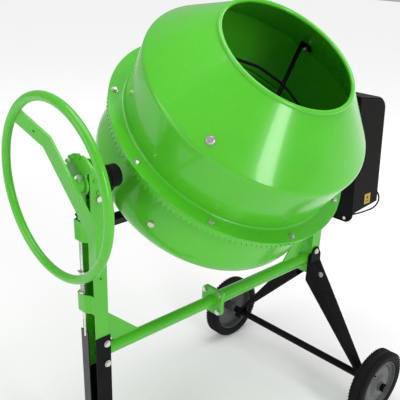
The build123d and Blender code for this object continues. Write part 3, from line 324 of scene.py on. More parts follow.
def fastener_tree(name, sides):
    """Washer, head and chamfer standing on each point, turned to face its direction."""
    tree = Tree(name)
    tree.add("Head radius", "NodeSocketFloat", 0.006)
    tree.add("Head height", "NodeSocketFloat", 0.005)
    tree.add("Washer radius", "NodeSocketFloat", 0.009)
    tree.add("Washer height", "NodeSocketFloat", 0.0016)
    tree.add("Seed", "NodeSocketInt", 3)
    tree.add("Material", "NodeSocketMaterial", None)
    tree.start()
    lift = tree.math("MULTIPLY", tree.get("Washer height"), 0.5)
    washer = tree.node("GeometryNodeMeshCylinder", None, {
        "Vertices": 32, "Radius": tree.get("Washer radius"), "Depth": tree.get("Washer height")})
    raise_washer = tree.node("ShaderNodeCombineXYZ", None, {2: lift})
    low = tree.node("GeometryNodeTransform", None, {"Geometry": washer.outputs[0],
                                                    "Translation": raise_washer.outputs[0]})
    body_height = tree.math("MULTIPLY", tree.get("Head height"), 0.78)
    body = tree.node("GeometryNodeMeshCylinder", None, {
        "Vertices": sides, "Radius": tree.get("Head radius"), "Depth": body_height})
    body_lift = tree.math("ADD", tree.get("Washer height"), tree.math("MULTIPLY", body_height, 0.5))
    raise_body = tree.node("ShaderNodeCombineXYZ", None, {2: body_lift})
    high = tree.node("GeometryNodeTransform", None, {"Geometry": body.outputs[0],
                                                     "Translation": raise_body.outputs[0]})
    crown_height = tree.math("MULTIPLY", tree.get("Head height"), 0.22)
    crown = tree.node("GeometryNodeMeshCone", None, {
        "Vertices": sides, "Radius Bottom": tree.get("Head radius"),
        "Radius Top": tree.math("MULTIPLY", tree.get("Head radius"), 0.82), "Depth": crown_height})
    crown_lift = tree.math("ADD", tree.get("Washer height"), body_height)
    raise_crown = tree.node("ShaderNodeCombineXYZ", None, {2: crown_lift})
    top = tree.node("GeometryNodeTransform", None, {"Geometry": crown.outputs[0],
                                                    "Translation": raise_crown.outputs[0]})
    joined = tree.node("GeometryNodeJoinGeometry")
    for part in (low, high, top):
        tree.tree.links.new(part.outputs[0], joined.inputs[0])
    facing = tree.node("GeometryNodeInputNamedAttribute", {"data_type": "FLOAT_VECTOR"},
                       {"Name": "facing"})
    aim = tree.node("FunctionNodeAlignRotationToVector", {"axis": "Z"}, {"Vector": facing.outputs[0]})
    spin = tree.node("FunctionNodeRandomValue", {"data_type": "FLOAT"},
                     {2: 0.0, 3: tau, "Seed": tree.get("Seed")})
    about = tree.node("ShaderNodeCombineXYZ", None, {2: spin.outputs[1]})
    turn = tree.node("FunctionNodeRotateRotation", {"rotation_space": "LOCAL"},
                     {0: aim.outputs[0], 1: about.outputs[0]})
    placed = tree.node("GeometryNodeInstanceOnPoints", None, {
        "Points": tree.get("Geometry"), "Instance": joined.outputs[0], "Rotation": turn.outputs[0]})
    tree.end(placed.outputs[0], tree.get("Material"))
    return tree


def ring_tree(name):
    """A block repeated round a circle about Y, such as tread lugs; rows may be staggered."""
    tree = Tree(name)
    tree.add("Count", "NodeSocketInt", 40)
    tree.add("Radius", "NodeSocketFloat", 0.11)
    tree.add("Offset", "NodeSocketFloat", 0.0)
    tree.add("Size", "NodeSocketVector", (0.01, 0.01, 0.002))
    tree.add("Twist", "NodeSocketFloat", 0.0)
    tree.add("Stagger", "NodeSocketFloat", 0.0)
    tree.add("Centre", "NodeSocketVector", (0.0, 0.0, 0.0))
    tree.add("Material", "NodeSocketMaterial", None)
    tree.start()
    ring = tree.node("GeometryNodeMeshCircle", None, {
        "Vertices": tree.get("Count"), "Radius": tree.get("Radius")})
    block = tree.node("GeometryNodeMeshCube", None, {"Size": tree.get("Size")})
    place = tree.node("GeometryNodeInputPosition")
    aim = tree.node("FunctionNodeAlignRotationToVector", {"axis": "Z"}, {"Vector": place.outputs[0]})
    twist = tree.node("ShaderNodeCombineXYZ", None, {2: tree.get("Twist")})
    turn = tree.node("FunctionNodeRotateRotation", {"rotation_space": "LOCAL"},
                     {0: aim.outputs[0], 1: twist.outputs[0]})
    lugs = tree.node("GeometryNodeInstanceOnPoints", None, {
        "Points": ring.outputs[0], "Instance": block.outputs[0], "Rotation": turn.outputs[0]})
    real = tree.node("GeometryNodeRealizeInstances", None, {"Geometry": lugs.outputs[0]})
    start = tree.node("ShaderNodeCombineXYZ", None, {0: radians(90), 1: tree.get("Stagger")})
    upright = tree.node("GeometryNodeTransform", None, {
        "Geometry": real.outputs[0], "Rotation": start.outputs[0]})
    shift = tree.node("ShaderNodeVectorMath", {"operation": "ADD"}, {0: tree.get("Centre")})
    along = tree.node("ShaderNodeCombineXYZ", None, {1: tree.get("Offset")})
    tree.tree.links.new(along.outputs[0], shift.inputs[1])
    moved = tree.node("GeometryNodeTransform", None, {"Geometry": upright.outputs[0],
                                                      "Translation": shift.outputs[0]})
    tree.end(moved.outputs[0], tree.get("Material"))
    return tree


def coil_tree(name):
    """A wire wound into a helix about Z."""
    tree = Tree(name)
    tree.add("Turns", "NodeSocketFloat", 9.0)
    tree.add("Coil radius", "NodeSocketFloat", 0.006)
    tree.add("Height", "NodeSocketFloat", 0.05)
    tree.add("Wire radius", "NodeSocketFloat", 0.0008)
    tree.add("Foot", "NodeSocketVector", (0.0, 0.0, 0.0))
    tree.add("Material", "NodeSocketMaterial", None)
    tree.start()
    spiral = tree.node("GeometryNodeCurveSpiral", None, {
        "Resolution": 28, "Rotations": tree.get("Turns"), "Start Radius": tree.get("Coil radius"),
        "End Radius": tree.get("Coil radius"), "Height": tree.get("Height")})
    wire = tree.node("GeometryNodeCurvePrimitiveCircle", None, {
        "Resolution": 10, "Radius": tree.get("Wire radius")})
    mesh = tree.node("GeometryNodeCurveToMesh", None, {"Curve": spiral.outputs[0],
                                                      "Profile Curve": wire.outputs[0], "Fill Caps": True})
    moved = tree.node("GeometryNodeTransform", None, {
        "Geometry": mesh.outputs[0], "Translation": tree.get("Foot")})
    tree.end(moved.outputs[0], tree.get("Material"))
    return tree


# --- shader helpers -----------------------------------------------------------


class Value:
    """A shader socket that takes part in arithmetic."""

    def __init__(self, paint, socket):
        self.paint = paint
        self.socket = socket

    def _math(self, operation, a, b):
        return self.paint.node("ShaderNodeMath", {"operation": operation}, {0: a, 1: b})

    def __add__(self, other):
        return self._math("ADD", self, other)

    def __radd__(self, other):
        return self._math("ADD", other, self)

    def __sub__(self, other):
        return self._math("SUBTRACT", self, other)

    def __rsub__(self, other):
        return self._math("SUBTRACT", other, self)

    def __mul__(self, other):
        return self._math("MULTIPLY", self, other)

    def __rmul__(self, other):
        return self._math("MULTIPLY", other, self)

    def __truediv__(self, other):
        return self._math("DIVIDE", self, other)

    def __rtruediv__(self, other):
        return self._math("DIVIDE", other, self)

    def __pow__(self, other):
        return self._math("POWER", self, other)

    def __abs__(self):
        return self._math("ABSOLUTE", self, 0.0)

    def above(self, limit):
        return self._math("GREATER_THAN", self, limit)


class Paint:
    """One material's node tree round a Principled shader."""

    def __init__(self, name):
        self.material = bpy.data.materials.new(name)
        self.material.use_nodes = True
        self.tree = self.material.node_tree
        self.tree.nodes.clear()
        self.shader = self.tree.nodes.new("ShaderNodeBsdfPrincipled")
        end = self.tree.nodes.new("ShaderNodeOutputMaterial")
        self.tree.links.new(self.shader.outputs[0], end.inputs[0])

    def node(self, kind, settings=None, inputs=None, out=0):
        made = self.tree.nodes.new(kind)
        for key, value in (settings or {}).items():
            if key == "stops":
                self._stops(made.color_ramp, value)
            else:
                setattr(made, key, value)
        for key, value in (inputs or {}).items():
            self.feed(made.inputs[key], value)
        return Value(self, made.outputs[out])

    def _stops(self, ramp, stops):
        while len(ramp.elements) < len(stops):
            ramp.elements.new(0.5)
        for element, (place, colour) in zip(ramp.elements, stops):
            element.position = place
            element.color = (*colour, 1.0)

    def feed(self, socket, value):
        if isinstance(value, Value):
            self.tree.links.new(value.socket, socket)
        else:
            socket.default_value = value

    def place(self, scale=(1, 1, 1), turn=(0, 0, 0), shift=(0, 0, 0)):
        """Object coordinates, centred, turned and scaled."""
        here = self.node("ShaderNodeTexCoord", out=3)
        return self.node("ShaderNodeMapping", {"vector_type": "POINT"},
                         {"Vector": here, "Location": shift, "Rotation": turn, "Scale": scale})

    def noise(self, scale, detail=3.0, rough=0.5, where=None, distort=0.0):
        return self.node("ShaderNodeTexNoise", None, {
            "Vector": where or self.place(), "Scale": scale, "Detail": detail,
            "Roughness": rough, "Distortion": distort})

    def spread(self, value, low, high, to_low=0.0, to_high=1.0):
        return self.node("ShaderNodeMapRange", {"clamp": True}, {
            "Value": value, "From Min": low, "From Max": high, "To Min": to_low, "To Max": to_high})

    def ramp(self, value, stops):
        return self.node("ShaderNodeValToRGB", {"stops": stops}, {0: value})

    def mix(self, factor, a, b):
        made = self.tree.nodes.new("ShaderNodeMix")
        made.data_type = "RGBA"
        self.feed(made.inputs[0], factor)
        self.feed(made.inputs[6], a if isinstance(a, Value) else (*a, 1.0))
        self.feed(made.inputs[7], b if isinstance(b, Value) else (*b, 1.0))
        return Value(self, made.outputs[2])

    def bump(self, height, distance, strength=1.0, below=None):
        inputs = {"Height": height, "Distance": distance, "Strength": strength}
        if below is not None:
            inputs["Normal"] = below
        return self.node("ShaderNodeBump", None, inputs)

    def set(self, **values):
        """Shader sockets by name, with underscores for spaces."""
        for key, value in values.items():
            socket = self.shader.inputs[key.replace("_", " ")]
            if not isinstance(value, Value) and socket.type == "RGBA":
                value = (*value, 1.0)
            self.feed(socket, value)
        return self.material


def shade(colour, factor):
    return tuple(min(1.0, c * factor) for c in colour)


# --- materials ----------------------------------------------------------------


def gloss_paint(name, colour, orange_peel=0.00004, rough=0.22, coat=0.3):
    """Powder coat with orange peel, slight colour drift and a thin film of dust."""
    paint = Paint(name)
    drift = paint.noise(5.0, 4.0)
    peel = paint.noise(420.0, 2.0, 0.4)
    dust = paint.spread(paint.noise(60.0, 6.0, 0.7), 0.55, 0.75)
    base = paint.mix(paint.spread(drift, 0.3, 0.7), shade(colour, 0.93), shade(colour, 1.06))
    tint = paint.mix(dust * 0.015, base, (0.5, 0.5, 0.46))
    speck = paint.spread(paint.noise(900.0, 1.0), 0.2, 0.8, -0.02, 0.02)
    return paint.set(Base_Color=tint, Roughness=paint.spread(drift, 0.2, 0.8, rough - 0.03, rough + 0.05) +
                     dust * 0.08 + speck, Coat_Weight=coat, Coat_Roughness=0.07, Specular_IOR_Level=0.35,
                     Normal=paint.bump(peel, orange_peel, 0.6))


def satin_black(name, colour, grain=700.0, rough=0.42):
    """Fine-textured black powder coat with a few rubbed specks."""
    paint = Paint(name)
    fine = paint.noise(grain, 3.0, 0.6)
    wide = paint.noise(14.0, 5.0, 0.6)
    rubbed = paint.spread(paint.noise(170.0, 6.0, 0.75), 0.66, 0.74)
    base = paint.mix(paint.spread(wide, 0.3, 0.7), shade(colour, 0.75), shade(colour, 1.5))
    tint = paint.mix(rubbed * 0.12, base, (0.05, 0.05, 0.052))
    return paint.set(Base_Color=tint, Roughness=paint.spread(wide, 0.2, 0.8, rough - 0.07, rough + 0.08),
                     Specular_IOR_Level=0.06, Normal=paint.bump(fine, 0.00006, 0.7))


def moulded(name, colour, grain=480.0, rough=0.5, gloss=0.1, shine=0.05):
    """Moulded plastic with a leathery grain."""
    paint = Paint(name)
    cells = paint.node("ShaderNodeTexVoronoi", {"feature": "SMOOTH_F1"},
                       {"Vector": paint.place(), "Scale": grain, "Smoothness": 0.4})
    cloud = paint.noise(18.0, 4.0)
    base = paint.mix(paint.spread(cloud, 0.3, 0.7), shade(colour, 0.8), shade(colour, 1.25))
    return paint.set(Base_Color=base, Roughness=paint.spread(cloud, 0.2, 0.8, rough - 0.06, rough + 0.08),
                     Coat_Weight=gloss, Coat_Roughness=0.25, Specular_IOR_Level=shine,
                     Normal=paint.bump(cells, 0.00008, 0.6))


def plated(name, colour, scratch=(40, 40, 900), rough=0.28, warm=0.4):
    """Bright plated steel: brushed streaks, cloudy tone and faint yellow passivation."""
    paint = Paint(name)
    streaks = paint.noise(1.0, 4.0, 0.6, paint.place(scale=scratch))
    cloud = paint.noise(70.0, 5.0, 0.6)
    base = paint.mix(paint.spread(cloud, 0.35, 0.7), shade(colour, 0.78), colour)
    tint = paint.mix(paint.spread(paint.noise(25.0, 3.0), 0.5, 0.75) * warm, base, (0.78, 0.7, 0.5))
    return paint.set(Base_Color=tint, Metallic=1.0,
                     Roughness=paint.spread(streaks, 0.3, 0.7, rough - 0.08, rough + 0.12),
                     Normal=paint.bump(streaks, 0.00003, 0.5))


def cast(name, colour):
    """Oiled cast metal with a coarse grain."""
    paint = Paint(name)
    grain = paint.noise(300.0, 5.0, 0.7)
    oil = paint.spread(paint.noise(22.0, 4.0), 0.4, 0.65)
    base = paint.mix(oil, colour, shade(colour, 0.5))
    return paint.set(Base_Color=base, Metallic=0.85, Roughness=0.55 - oil * 0.2,
                     Normal=paint.bump(grain, 0.0002, 0.6))


def rubber(name, colour, rough=0.72):
    """Matt rubber with mould bloom and fine pores."""
    paint = Paint(name)
    pores = paint.noise(900.0, 3.0, 0.6)
    bloom = paint.spread(paint.noise(35.0, 5.0, 0.65), 0.45, 0.75)
    base = paint.mix(bloom * 0.25, colour, (0.03, 0.03, 0.029))
    return paint.set(Base_Color=base, Roughness=paint.spread(bloom, 0.0, 1.0, rough - 0.1, rough + 0.12),
                     Specular_IOR_Level=0.12, Normal=paint.bump(pores, 0.00008, 0.6))


def sticker(name, colour, low, high):
    """Blank sticker: a coloured face with two plain dark bars and a thin border."""
    paint = Paint(name)
    centre = (low + high) / 2
    half_x = (high.x - low.x) / 2
    half_z = (high.z - low.z) / 2
    local = paint.place(shift=(-centre.x, -centre.y, -centre.z))
    split = paint.tree.nodes.new("ShaderNodeSeparateXYZ")
    paint.tree.links.new(local.socket, split.inputs[0])
    x = abs(Value(paint, split.outputs[0])) / half_x
    z = Value(paint, split.outputs[2]) / half_z
    border = 1.0 - (1.0 - x.above(0.86)) * (1.0 - abs(z).above(0.86))
    bar = (1.0 - abs(z + 0.45).above(0.1)) * (1.0 - x.above(0.6))
    disc = (1.0 - ((x * x + (z - 0.25) * (z - 0.25)) ** 0.5).above(0.34))
    ink = paint.spread(bar + disc, 0.0, 1.0)
    cloud = paint.noise(120.0, 3.0)
    base = paint.mix(paint.spread(cloud, 0.3, 0.7), shade(colour, 0.92), shade(colour, 1.05))
    edged = paint.mix(border * 0.6, base, shade(colour, 0.6))
    return paint.set(Base_Color=paint.mix(ink * 0.9, edged, (0.03, 0.03, 0.03)),
                     Roughness=paint.spread(cloud, 0.2, 0.8, 0.4, 0.52), Specular_IOR_Level=0.3)


def pale_stage(name, colour):
    """Pale studio floor that glows faintly far from the machine, like a lit backdrop."""
    paint = Paint(name)
    cloud = paint.noise(1.5, 3.0)
    base = paint.mix(cloud, shade(colour, 0.99), shade(colour, 1.01))
    far = paint.node("ShaderNodeVectorMath", {"operation": "LENGTH"}, {0: paint.place()}, out=1)
    glow = paint.mix(paint.spread(far, 0.8, 3.5), (0.12, 0.12, 0.12), (1.0, 1.0, 1.0))
    return paint.set(Base_Color=base, Roughness=0.9, Emission_Color=glow, Emission_Strength=0.5)


MATERIALS = {}


def material_for(slot):
    return MATERIALS[slot]


def build_materials(look):
    green = tuple(look.green)
    black = tuple(look.black)
    low, high = (Vector(corner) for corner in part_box("rating_label"))
    MATERIALS.update({
        "drum_paint": gloss_paint("glossy green drum", green),
        "frame_green": gloss_paint("glossy green frame", shade(green, 0.95), 0.00005, 0.26, 0.3),
        "frame_black": satin_black("satin black frame", black),
        "cover_black": moulded("dark cover", (0.010, 0.0098, 0.0092), 520.0, 0.5, 0.0),
        "rim_grey": gloss_paint("silver grey rim", (0.085, 0.088, 0.087), 0.00004, 0.38, 0.1),
        "tyre_rubber": rubber("tyre rubber", (0.008, 0.008, 0.0085)),
        "zinc": plated("bright zinc", (0.74, 0.74, 0.72)),
        "bare_steel": plated("ground steel", (0.55, 0.55, 0.56), (30, 30, 1400), 0.24, 0.1),
        "dark_steel": plated("blackened steel", (0.09, 0.09, 0.095), (60, 60, 500), 0.36, 0.0),
        "gear_iron": cast("oiled iron", (0.16, 0.16, 0.165)),
        "alloy": plated("cast alloy", (0.62, 0.63, 0.65), (200, 200, 260), 0.4, 0.0),
        "soft_black": rubber("soft rubber", (0.006, 0.006, 0.006), 0.6),
        "cap_black": moulded("smooth black caps", (0.006, 0.006, 0.007), 900.0, 0.3, 0.05),
        "label_yellow": sticker("blank yellow label", (0.52, 0.33, 0.025), low, high),
        "switch_grey": moulded("switch box", (0.018, 0.018, 0.02), 620.0, 0.5, 0.0, 0.15),
        "start_green": moulded("green push button", (0.03, 0.4, 0.1), 1200.0, 0.28, 0.3, 0.4),
        "stop_red": moulded("red push button", (0.5, 0.015, 0.015), 1200.0, 0.28, 0.3, 0.4),
    })
    for entry in RECORD["subparts"]:
        node = NODES[entry["node"]]
        made = material_for(entry["material_slot"])
        if not node.material_slots:
            node.data.materials.append(made)
        for held in node.material_slots:
            held.material = made


def dress(obj, slot, body, *replaced):
    """Gives a finished piece its material, its body and the nodes it stands for."""
    obj.data.materials.clear()
    obj.data.materials.append(material_for(slot))
    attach(obj, body)
    if replaced:
        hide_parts(*replaced)
    return obj


# --- pieces -------------------------------------------------------------------


def build_drum(look):
    """Both drum shells, turned from their sections with soft pressed corners."""
    steps = look.drum_segments
    lip = DRUM_SHEET / 4
    flange = FLANGE_TOP - DRUM_SHEET / 2
    cone = [(FLANGE_R - lip, flange), (WALL_FOOT_R, flange), CREASE, MOUTH]
    line = subdivided(rounded(cone, [8 * MM, 16 * MM], 10), 0.03)
    upper = lathe("drum_cone", sheet_outline(line, DRUM_SHEET), steps, DRUM)
    turns = [tau * i / 20 for i in range(20)]
    bead_profile = [(MOUTH[0] + BEAD_R * cos(turn), MOUTH[1] + BEAD_R * sin(turn)) for turn in turns]
    bead = lathe("drum_mouth_bead", bead_profile, steps, DRUM)
    bowl = [(BOWL_FLANGE_R - lip, BOWL_FLANGE), (BOWL_TOP_R, BOWL_FLANGE), BELLY, BOWL_FLOOR,
            (0.0, BOWL_FLOOR[1])]
    line = subdivided(rounded(bowl, [6 * MM, 70 * MM, 35 * MM], 12), 0.03)
    lower = lathe("drum_bowl", bowl_outline(line, DRUM_SHEET), steps, DRUM, closed=False)
    dress(upper, "drum_paint", "drum", "upper_drum")
    dress(bead, "drum_paint", "drum")
    dress(lower, "drum_paint", "drum", "lower_drum")
    for obj in (upper, lower):
        sharpen(obj, 50)


def bowl_outline(line, thickness):
    """Outline of a closed bowl: up the outside from the axis, over the edge and back inside."""
    outer = []
    inner = []
    count = len(line)
    for i, point in enumerate(line):
        ahead = line[min(i + 1, count - 1)] - line[max(i - 1, 0)]
        if i == count - 1:
            ahead = Vector((-1, 0))
        normal = Vector((-ahead.y, ahead.x)).normalized() * thickness / 2
        inner.append(point - normal)
        outer.append(point + normal)
    inner[-1].x = 0.0
    outer[-1].x = 0.0
    tail = line[0] + (line[0] - line[1]).normalized() * thickness / 4
    return [tuple(p) for p in outer[::-1] + [tail] + inner]


def build_waist_bolts(look):
    """Hexagon heads with washers round the waist flange."""
    axis = DRUM.to_3x3() @ Vector((0, 0, 1))
    places = []
    for i in range(WAIST_BOLTS):
        turn = radians(FIRST_TURN + 360 * i / WAIST_BOLTS)
        place = Vector((WAIST_BOLT_R * cos(turn), WAIST_BOLT_R * sin(turn), FLANGE_TOP))
        places.append((DRUM @ place, axis))
    tree = fastener_tree("Waist fastener", 6)
    heads = grown("waist_bolt_heads", point_cloud(places), tree, {
        "Head radius": 6.2 * MM, "Head height": 4.4 * MM, "Washer radius": 8 * MM,
        "Washer height": 1.6 * MM, "Seed": 5, "Material": material_for("zinc")})
    dress(heads, "zinc", "drum", "waist_bolts")


def fixing(turn, height):
    """Place and outward direction of a mixing bar's fixing on the drum's skin."""
    out = Vector((cos(turn), sin(turn), 0))
    (low_r, low), (high_r, high) = (CREASE, MOUTH) if height > 0 else (BELLY, (BOWL_TOP_R, BOWL_FLANGE))
    radius = low_r + (high_r - low_r) * (height - low) / (high - low)
    normal = (out * (high - low) + Vector((0, 0, low_r - high_r))).normalized()
    return out * radius + Vector((0, 0, height)) + normal * DRUM_SHEET / 2, normal


def build_blade_bolts(look):
    """Domed heads with raised washers where the mixing bars are bolted through the drum."""
    washer = [(0.0, 0.3), (10.6, 0.3), (10.9, 0.9), (10.4, 1.5), (9.0, 1.7), (8.4, 1.65), (8.0, 1.7)]
    head = [(7.45, 2.0), (7.4, 4.6), (6.9, 5.1), (5.2, 5.2), (4.9, 4.7), (0.0, 4.6)]
    heads = []
    for height, share in ((CONE_FIXING, 1.0), (BOWL_FIXING, 0.77)):
        profile = [(radius * share, rise) for radius, rise in washer] + head
        outline = [(radius * MM, rise * MM) for radius, rise in profile]
        for turn in (FIRST_TURN, FIRST_TURN + 180):
            place, normal = fixing(radians(turn), height)
            face = normal.to_track_quat("Z", "Y").to_matrix().to_4x4()
            heads.append(lathe("head", outline, 40, DRUM @ Matrix.Translation(place) @ face, closed=False))
    bolts = joined("drum_bolt_heads", heads)
    dress(bolts, "zinc", "drum")


def build_handwheel(look):
    """Round ring of the handwheel with weld beads where the flat bar meets it."""
    centre = middle("handwheel_ring")
    low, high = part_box("handwheel_ring")
    tube = (high[0] - low[0]) / 2
    reach = (high[2] - low[2]) / 2 - tube
    turns = [tau * i / 160 for i in range(160)]
    points = [centre + Vector((0, reach * cos(turn), reach * sin(turn))) for turn in turns]
    ring = tube_along("handwheel_rim", points, tube, 28, closed=True)
    dress(ring, "frame_green", "yoke_frame", "handwheel_ring")
    diagonal = Vector((0, 1, 1)).normalized()
    across = Vector((0, -1, 1)).normalized()
    beads = []
    for side in (-1, 1):
        root = centre + diagonal * side * (reach - tube * 0.93) + Vector((5.5 * MM, 0, 0))
        beads.append([root + across * (k / 12 - 0.5) * 38 * MM + Vector((0.6 * MM * sin(k * 2.1), 0, 0))
                      for k in range(13)])
    bead_pieces("handwheel_weld", beads, 2.2 * MM, "frame_green", "yoke_frame")


def bead_pieces(name, lines, radius, slot, body):
    """Weld beads along several short lines, joined in one piece."""
    verts = []
    faces = []
    sides = 8
    for line in lines:
        start = len(verts)
        count = len(line)
        for i, point in enumerate(line):
            ahead = (line[min(i + 1, count - 1)] - line[max(i - 1, 0)]).normalized()
            side = ahead.orthogonal().normalized()
            up = side.cross(ahead)
            taper = 0.55 + 0.45 * sin(pi * i / (count - 1)) ** 0.4
            swell = radius * taper * (1.0 + 0.12 * sin(i * 2.7))
            for k in range(sides):
                turn = tau * k / sides
                verts.append(point + (side * cos(turn) + up * sin(turn)) * swell)
        for i in range(count - 1):
            for k in range(sides):
                m = (k + 1) % sides
                a = start + i * sides
                faces.append((a + k, a + m, a + sides + m, a + sides + k))
        faces.append(tuple(range(start, start + sides))[::-1])
        faces.append(tuple(range(start + (count - 1) * sides, start + count * sides)))
    obj = new_object(name, verts, faces)
    return dress(obj, slot, body)


def circle_line(centre, axis, radius, count=40, start=0.0, sweep=tau):
    """Points on part of a circle about an axis."""
    axis = Vector(axis).normalized()
    side = axis.orthogonal().normalized()
    up = axis.cross(side)
    turns = [start + sweep * i / count for i in range(count + 1)]
    return [Vector(centre) + (side * cos(turn) + up * sin(turn)) * radius for turn in turns]


def build_frame_welds(look):
    """Beads where the cross tubes and the corner plates meet the posts."""
    left_low, left_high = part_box("cross_tube_left")
    right_low, right_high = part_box("cross_tube_right")
    axis_z = (left_low[2] + left_high[2]) / 2
    edge = 0.8 * MM
    left_r = LEFT_TUBE_R + edge
    right_r = RIGHT_TUBE_R + edge
    joint_low = right_low[0]
    lines = [circle_line((x, 0, axis_z), (1, 0, 0), radius) for x, radius in (
        (left_low[0] + edge, left_r), (right_high[0] - edge, right_r),
        (joint_low - 6.8 * MM, left_r), (joint_low + 6.8 * MM, right_r))]
    bead_pieces("stand_welds", lines, 1.7 * MM, "frame_green", "base")
    gusset_low, gusset_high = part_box("post_gussets")
    seams = []
    for side in (-1, 1):
        y = side * 2.9 * MM
        for x, foot, top in ((gusset_low[0] + 0.6 * MM, -106, -42), (gusset_high[0] - 0.6 * MM, -64, -2)):
            seams.append([Vector((x, y, gusset_high[2] + (foot + (top - foot) * k / 16) * MM))
                          for k in range(17)])
    bead_pieces("corner_plate_welds", seams, 1.4 * MM, "frame_green", "base")


def build_yoke_welds(look):
    """Beads round the trunnions where they meet the tilting frame's arms."""
    arm = 366.5 * MM
    lines = [circle_line((TILT_CENTRE.x + reach, 0, TILT_CENTRE.z), (1, 0, 0), 26.6 * MM, 48)
             for reach in (-arm, arm)]
    bead_pieces("yoke_welds", lines, 1.6 * MM, "frame_black", "yoke_frame")


def build_post_rivets(look):
    """Domed rivets on the front face of the handwheel post."""
    low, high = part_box("left_post")
    face = low[1]
    top = high[2]
    places = [(Vector((low[0] + dx * MM, face, top - dz * MM)), Vector((0, -1, 0)))
              for dx, dz in ((14, 33), (21, 61))]
    tree = fastener_tree("Post rivet", 20)
    rivets = grown("post_rivets", point_cloud(places), tree, {
        "Head radius": 4.6 * MM, "Head height": 2.4 * MM, "Washer radius": 5.4 * MM,
        "Washer height": 0.8 * MM, "Seed": 2, "Material": material_for("frame_green")}, 60)
    dress(rivets, "frame_green", "base")


def wheel_centre(word):
    return Vector(JOINTS[word + "_wheel_spin"]["pos_m"])


def build_wheels(look):
    """Both tyres with their tread, and both rims with dish, hub and valve."""
    tread = ring_tree("Tread row")
    for word, side in (("near", -1), ("far", 1)):
        centre = wheel_centre(word)
        build_tyre(word, side, centre, tread)
        build_rim(word, side, centre)


def turned_y(name, profile, centre, side, segments, closed=True):
    """An outline of (radius, outward) turned about the wheel's axis."""
    face = Matrix.Translation(centre) @ Matrix.Rotation(radians(90 if side < 0 else -90), 4, "X")
    return lathe(name, profile, segments, face, closed)


def build_tyre(word, side, centre, tread):
    body = word + "_wheel"
    half = TYRE_HALF
    wall = [(84.1, 7), (84.6, 5), (88, 2.2), (92, 1.2), (94, 2.0), (96, 1.0), (100, 0.3), (104, 0.9),
            (108.5, 3.4), (111.4, 8), (112.2, 11), (111.0, 12), (111.0, 14), (112.6, 15)]
    crown = [(112.9, -4), (111.4, -3.2), (111.4, 3.2), (112.9, 4)]
    outline = [(r, depth - half) for r, depth in wall] + crown
    outline += [(r, half - depth) for r, depth in reversed(wall)]
    tyre = turned_y(word + "_tyre_body", [(r * MM, h * MM) for r, h in outline], centre, side, 144)
    sharpen(tyre, 40)
    dress(tyre, "tyre_rubber", body, word + "_tyre")
    rows = []
    lug = (6.2 * MM, 5.6 * MM, 4.0 * MM)
    for offset, twist, stagger in (
            (-17.0, 0.5, 0.0), (-8.0, -0.5, 0.05), (8.0, 0.5, 0.0), (17.0, -0.5, 0.05)):
        rows.append(grown(f"{word}_tread_{len(rows)}", bpy.data.meshes.new("empty"), tread, {
            "Count": 60, "Radius": 111.6 * MM, "Offset": offset * MM, "Size": lug, "Twist": twist,
            "Stagger": stagger, "Centre": centre, "Material": material_for("tyre_rubber")}))
    lugs = joined(word + "_tread_lugs", rows)
    dress(lugs, "tyre_rubber", body)


def joined(name, objects):
    """One plain object from several that share a finish."""
    work = bmesh.new()
    for obj in objects:
        work.from_mesh(obj.data)
        bpy.data.objects.remove(obj)
    mesh = bpy.data.meshes.new(name)
    work.to_mesh(mesh)
    work.free()
    obj = finished(name, mesh)
    sharpen(obj, 35)
    return obj


def build_rim(word, side, centre):
    body = word + "_wheel"
    half = TYRE_HALF
    dish = [(83.9, half - 5.5), (82.6, half - 4.6), (81.2, half - 5.2), (80.6, half - 8), (80.0, half - 14),
            (78.0, half - 16.5), (72, half - 18), (67, half - 17), (62.5, half - 13.5), (58, half - 12.2),
            (50, half - 12), (45, half - 12.4), (40, half - 11.2), (33, half - 6.2), (27, half - 4.2),
            (19, half - 4.0), (17.2, half - 3.4), (17.0, half - 0.6), (16.2, half), (10.2, half)]
    back = [(10.2, -half), (16.4, -half), (17, -half + 1), (17, half - 7), (26, half - 7), (33, half - 9.6),
            (40, half - 14), (62, half - 15.6), (72, half - 21), (79, half - 19.6), (79.5, half - 21),
            (80.8, -half + 12), (81.5, -half + 8.2), (82.6, -half + 7.1), (83.9, -half + 7.1)]
    rim = turned_y(word + "_rim_dish", [(r * MM, h * MM) for r, h in dish + back], centre, side, 144)
    sharpen(rim, 45)
    dress(rim, "rim_grey", body, word + "_rim")
    out = Vector((0, side, 0))
    direction = Vector((sin(radians(-35)), 0, cos(radians(-35))))
    foot = centre + direction * 70 * MM + out * (half - 17.5) * MM
    stem = [foot + (out * 13 - direction * 4) * MM * k / 8 for k in range(9)]
    valve = tube_along(word + "_valve", stem, 2.6 * MM, 14)
    dress(valve, "cap_black", body)


def build_lock_spring(look):
    """Coil spring between the lower guide and the rod's washer."""
    low, high = (Vector(corner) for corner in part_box("lock_spring"))
    centre = (low + high) / 2
    wire = 0.85 * MM
    tree = coil_tree("Lock coil")
    spring = grown("lock_coil", bpy.data.meshes.new("empty"), tree, {
        "Turns": 11.0, "Coil radius": (high.x - low.x) / 2 - wire, "Height": high.z - low.z - 2 * wire,
        "Wire radius": wire, "Foot": (centre.x, centre.y, low.z + wire),
        "Material": material_for("zinc")}, 80)
    spring.data.materials.clear()
    spring.data.materials.append(material_for("zinc"))
    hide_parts("lock_spring")
    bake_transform(spring)


LEAD_DIAMETER = 5 * MM


def lead_route():
    """The lead's slack loop, in millimetres from the tilt axis, from one gland to the other."""
    return [(476, -36, -257), (476, -36, -280), (482, -41, -296), (498, -53, -307), (524, -73, -304),
            (553, -91, -298), (583, -103, -291), (596, -109, -286), (605, -113, -276), (610, -115, -264),
            (611, -113, -249), (609, -105, -235), (606, -93, -225), (606, -80, -212), (606, -72, -199),
            (606, -70, -184), (606, -70, -165)]


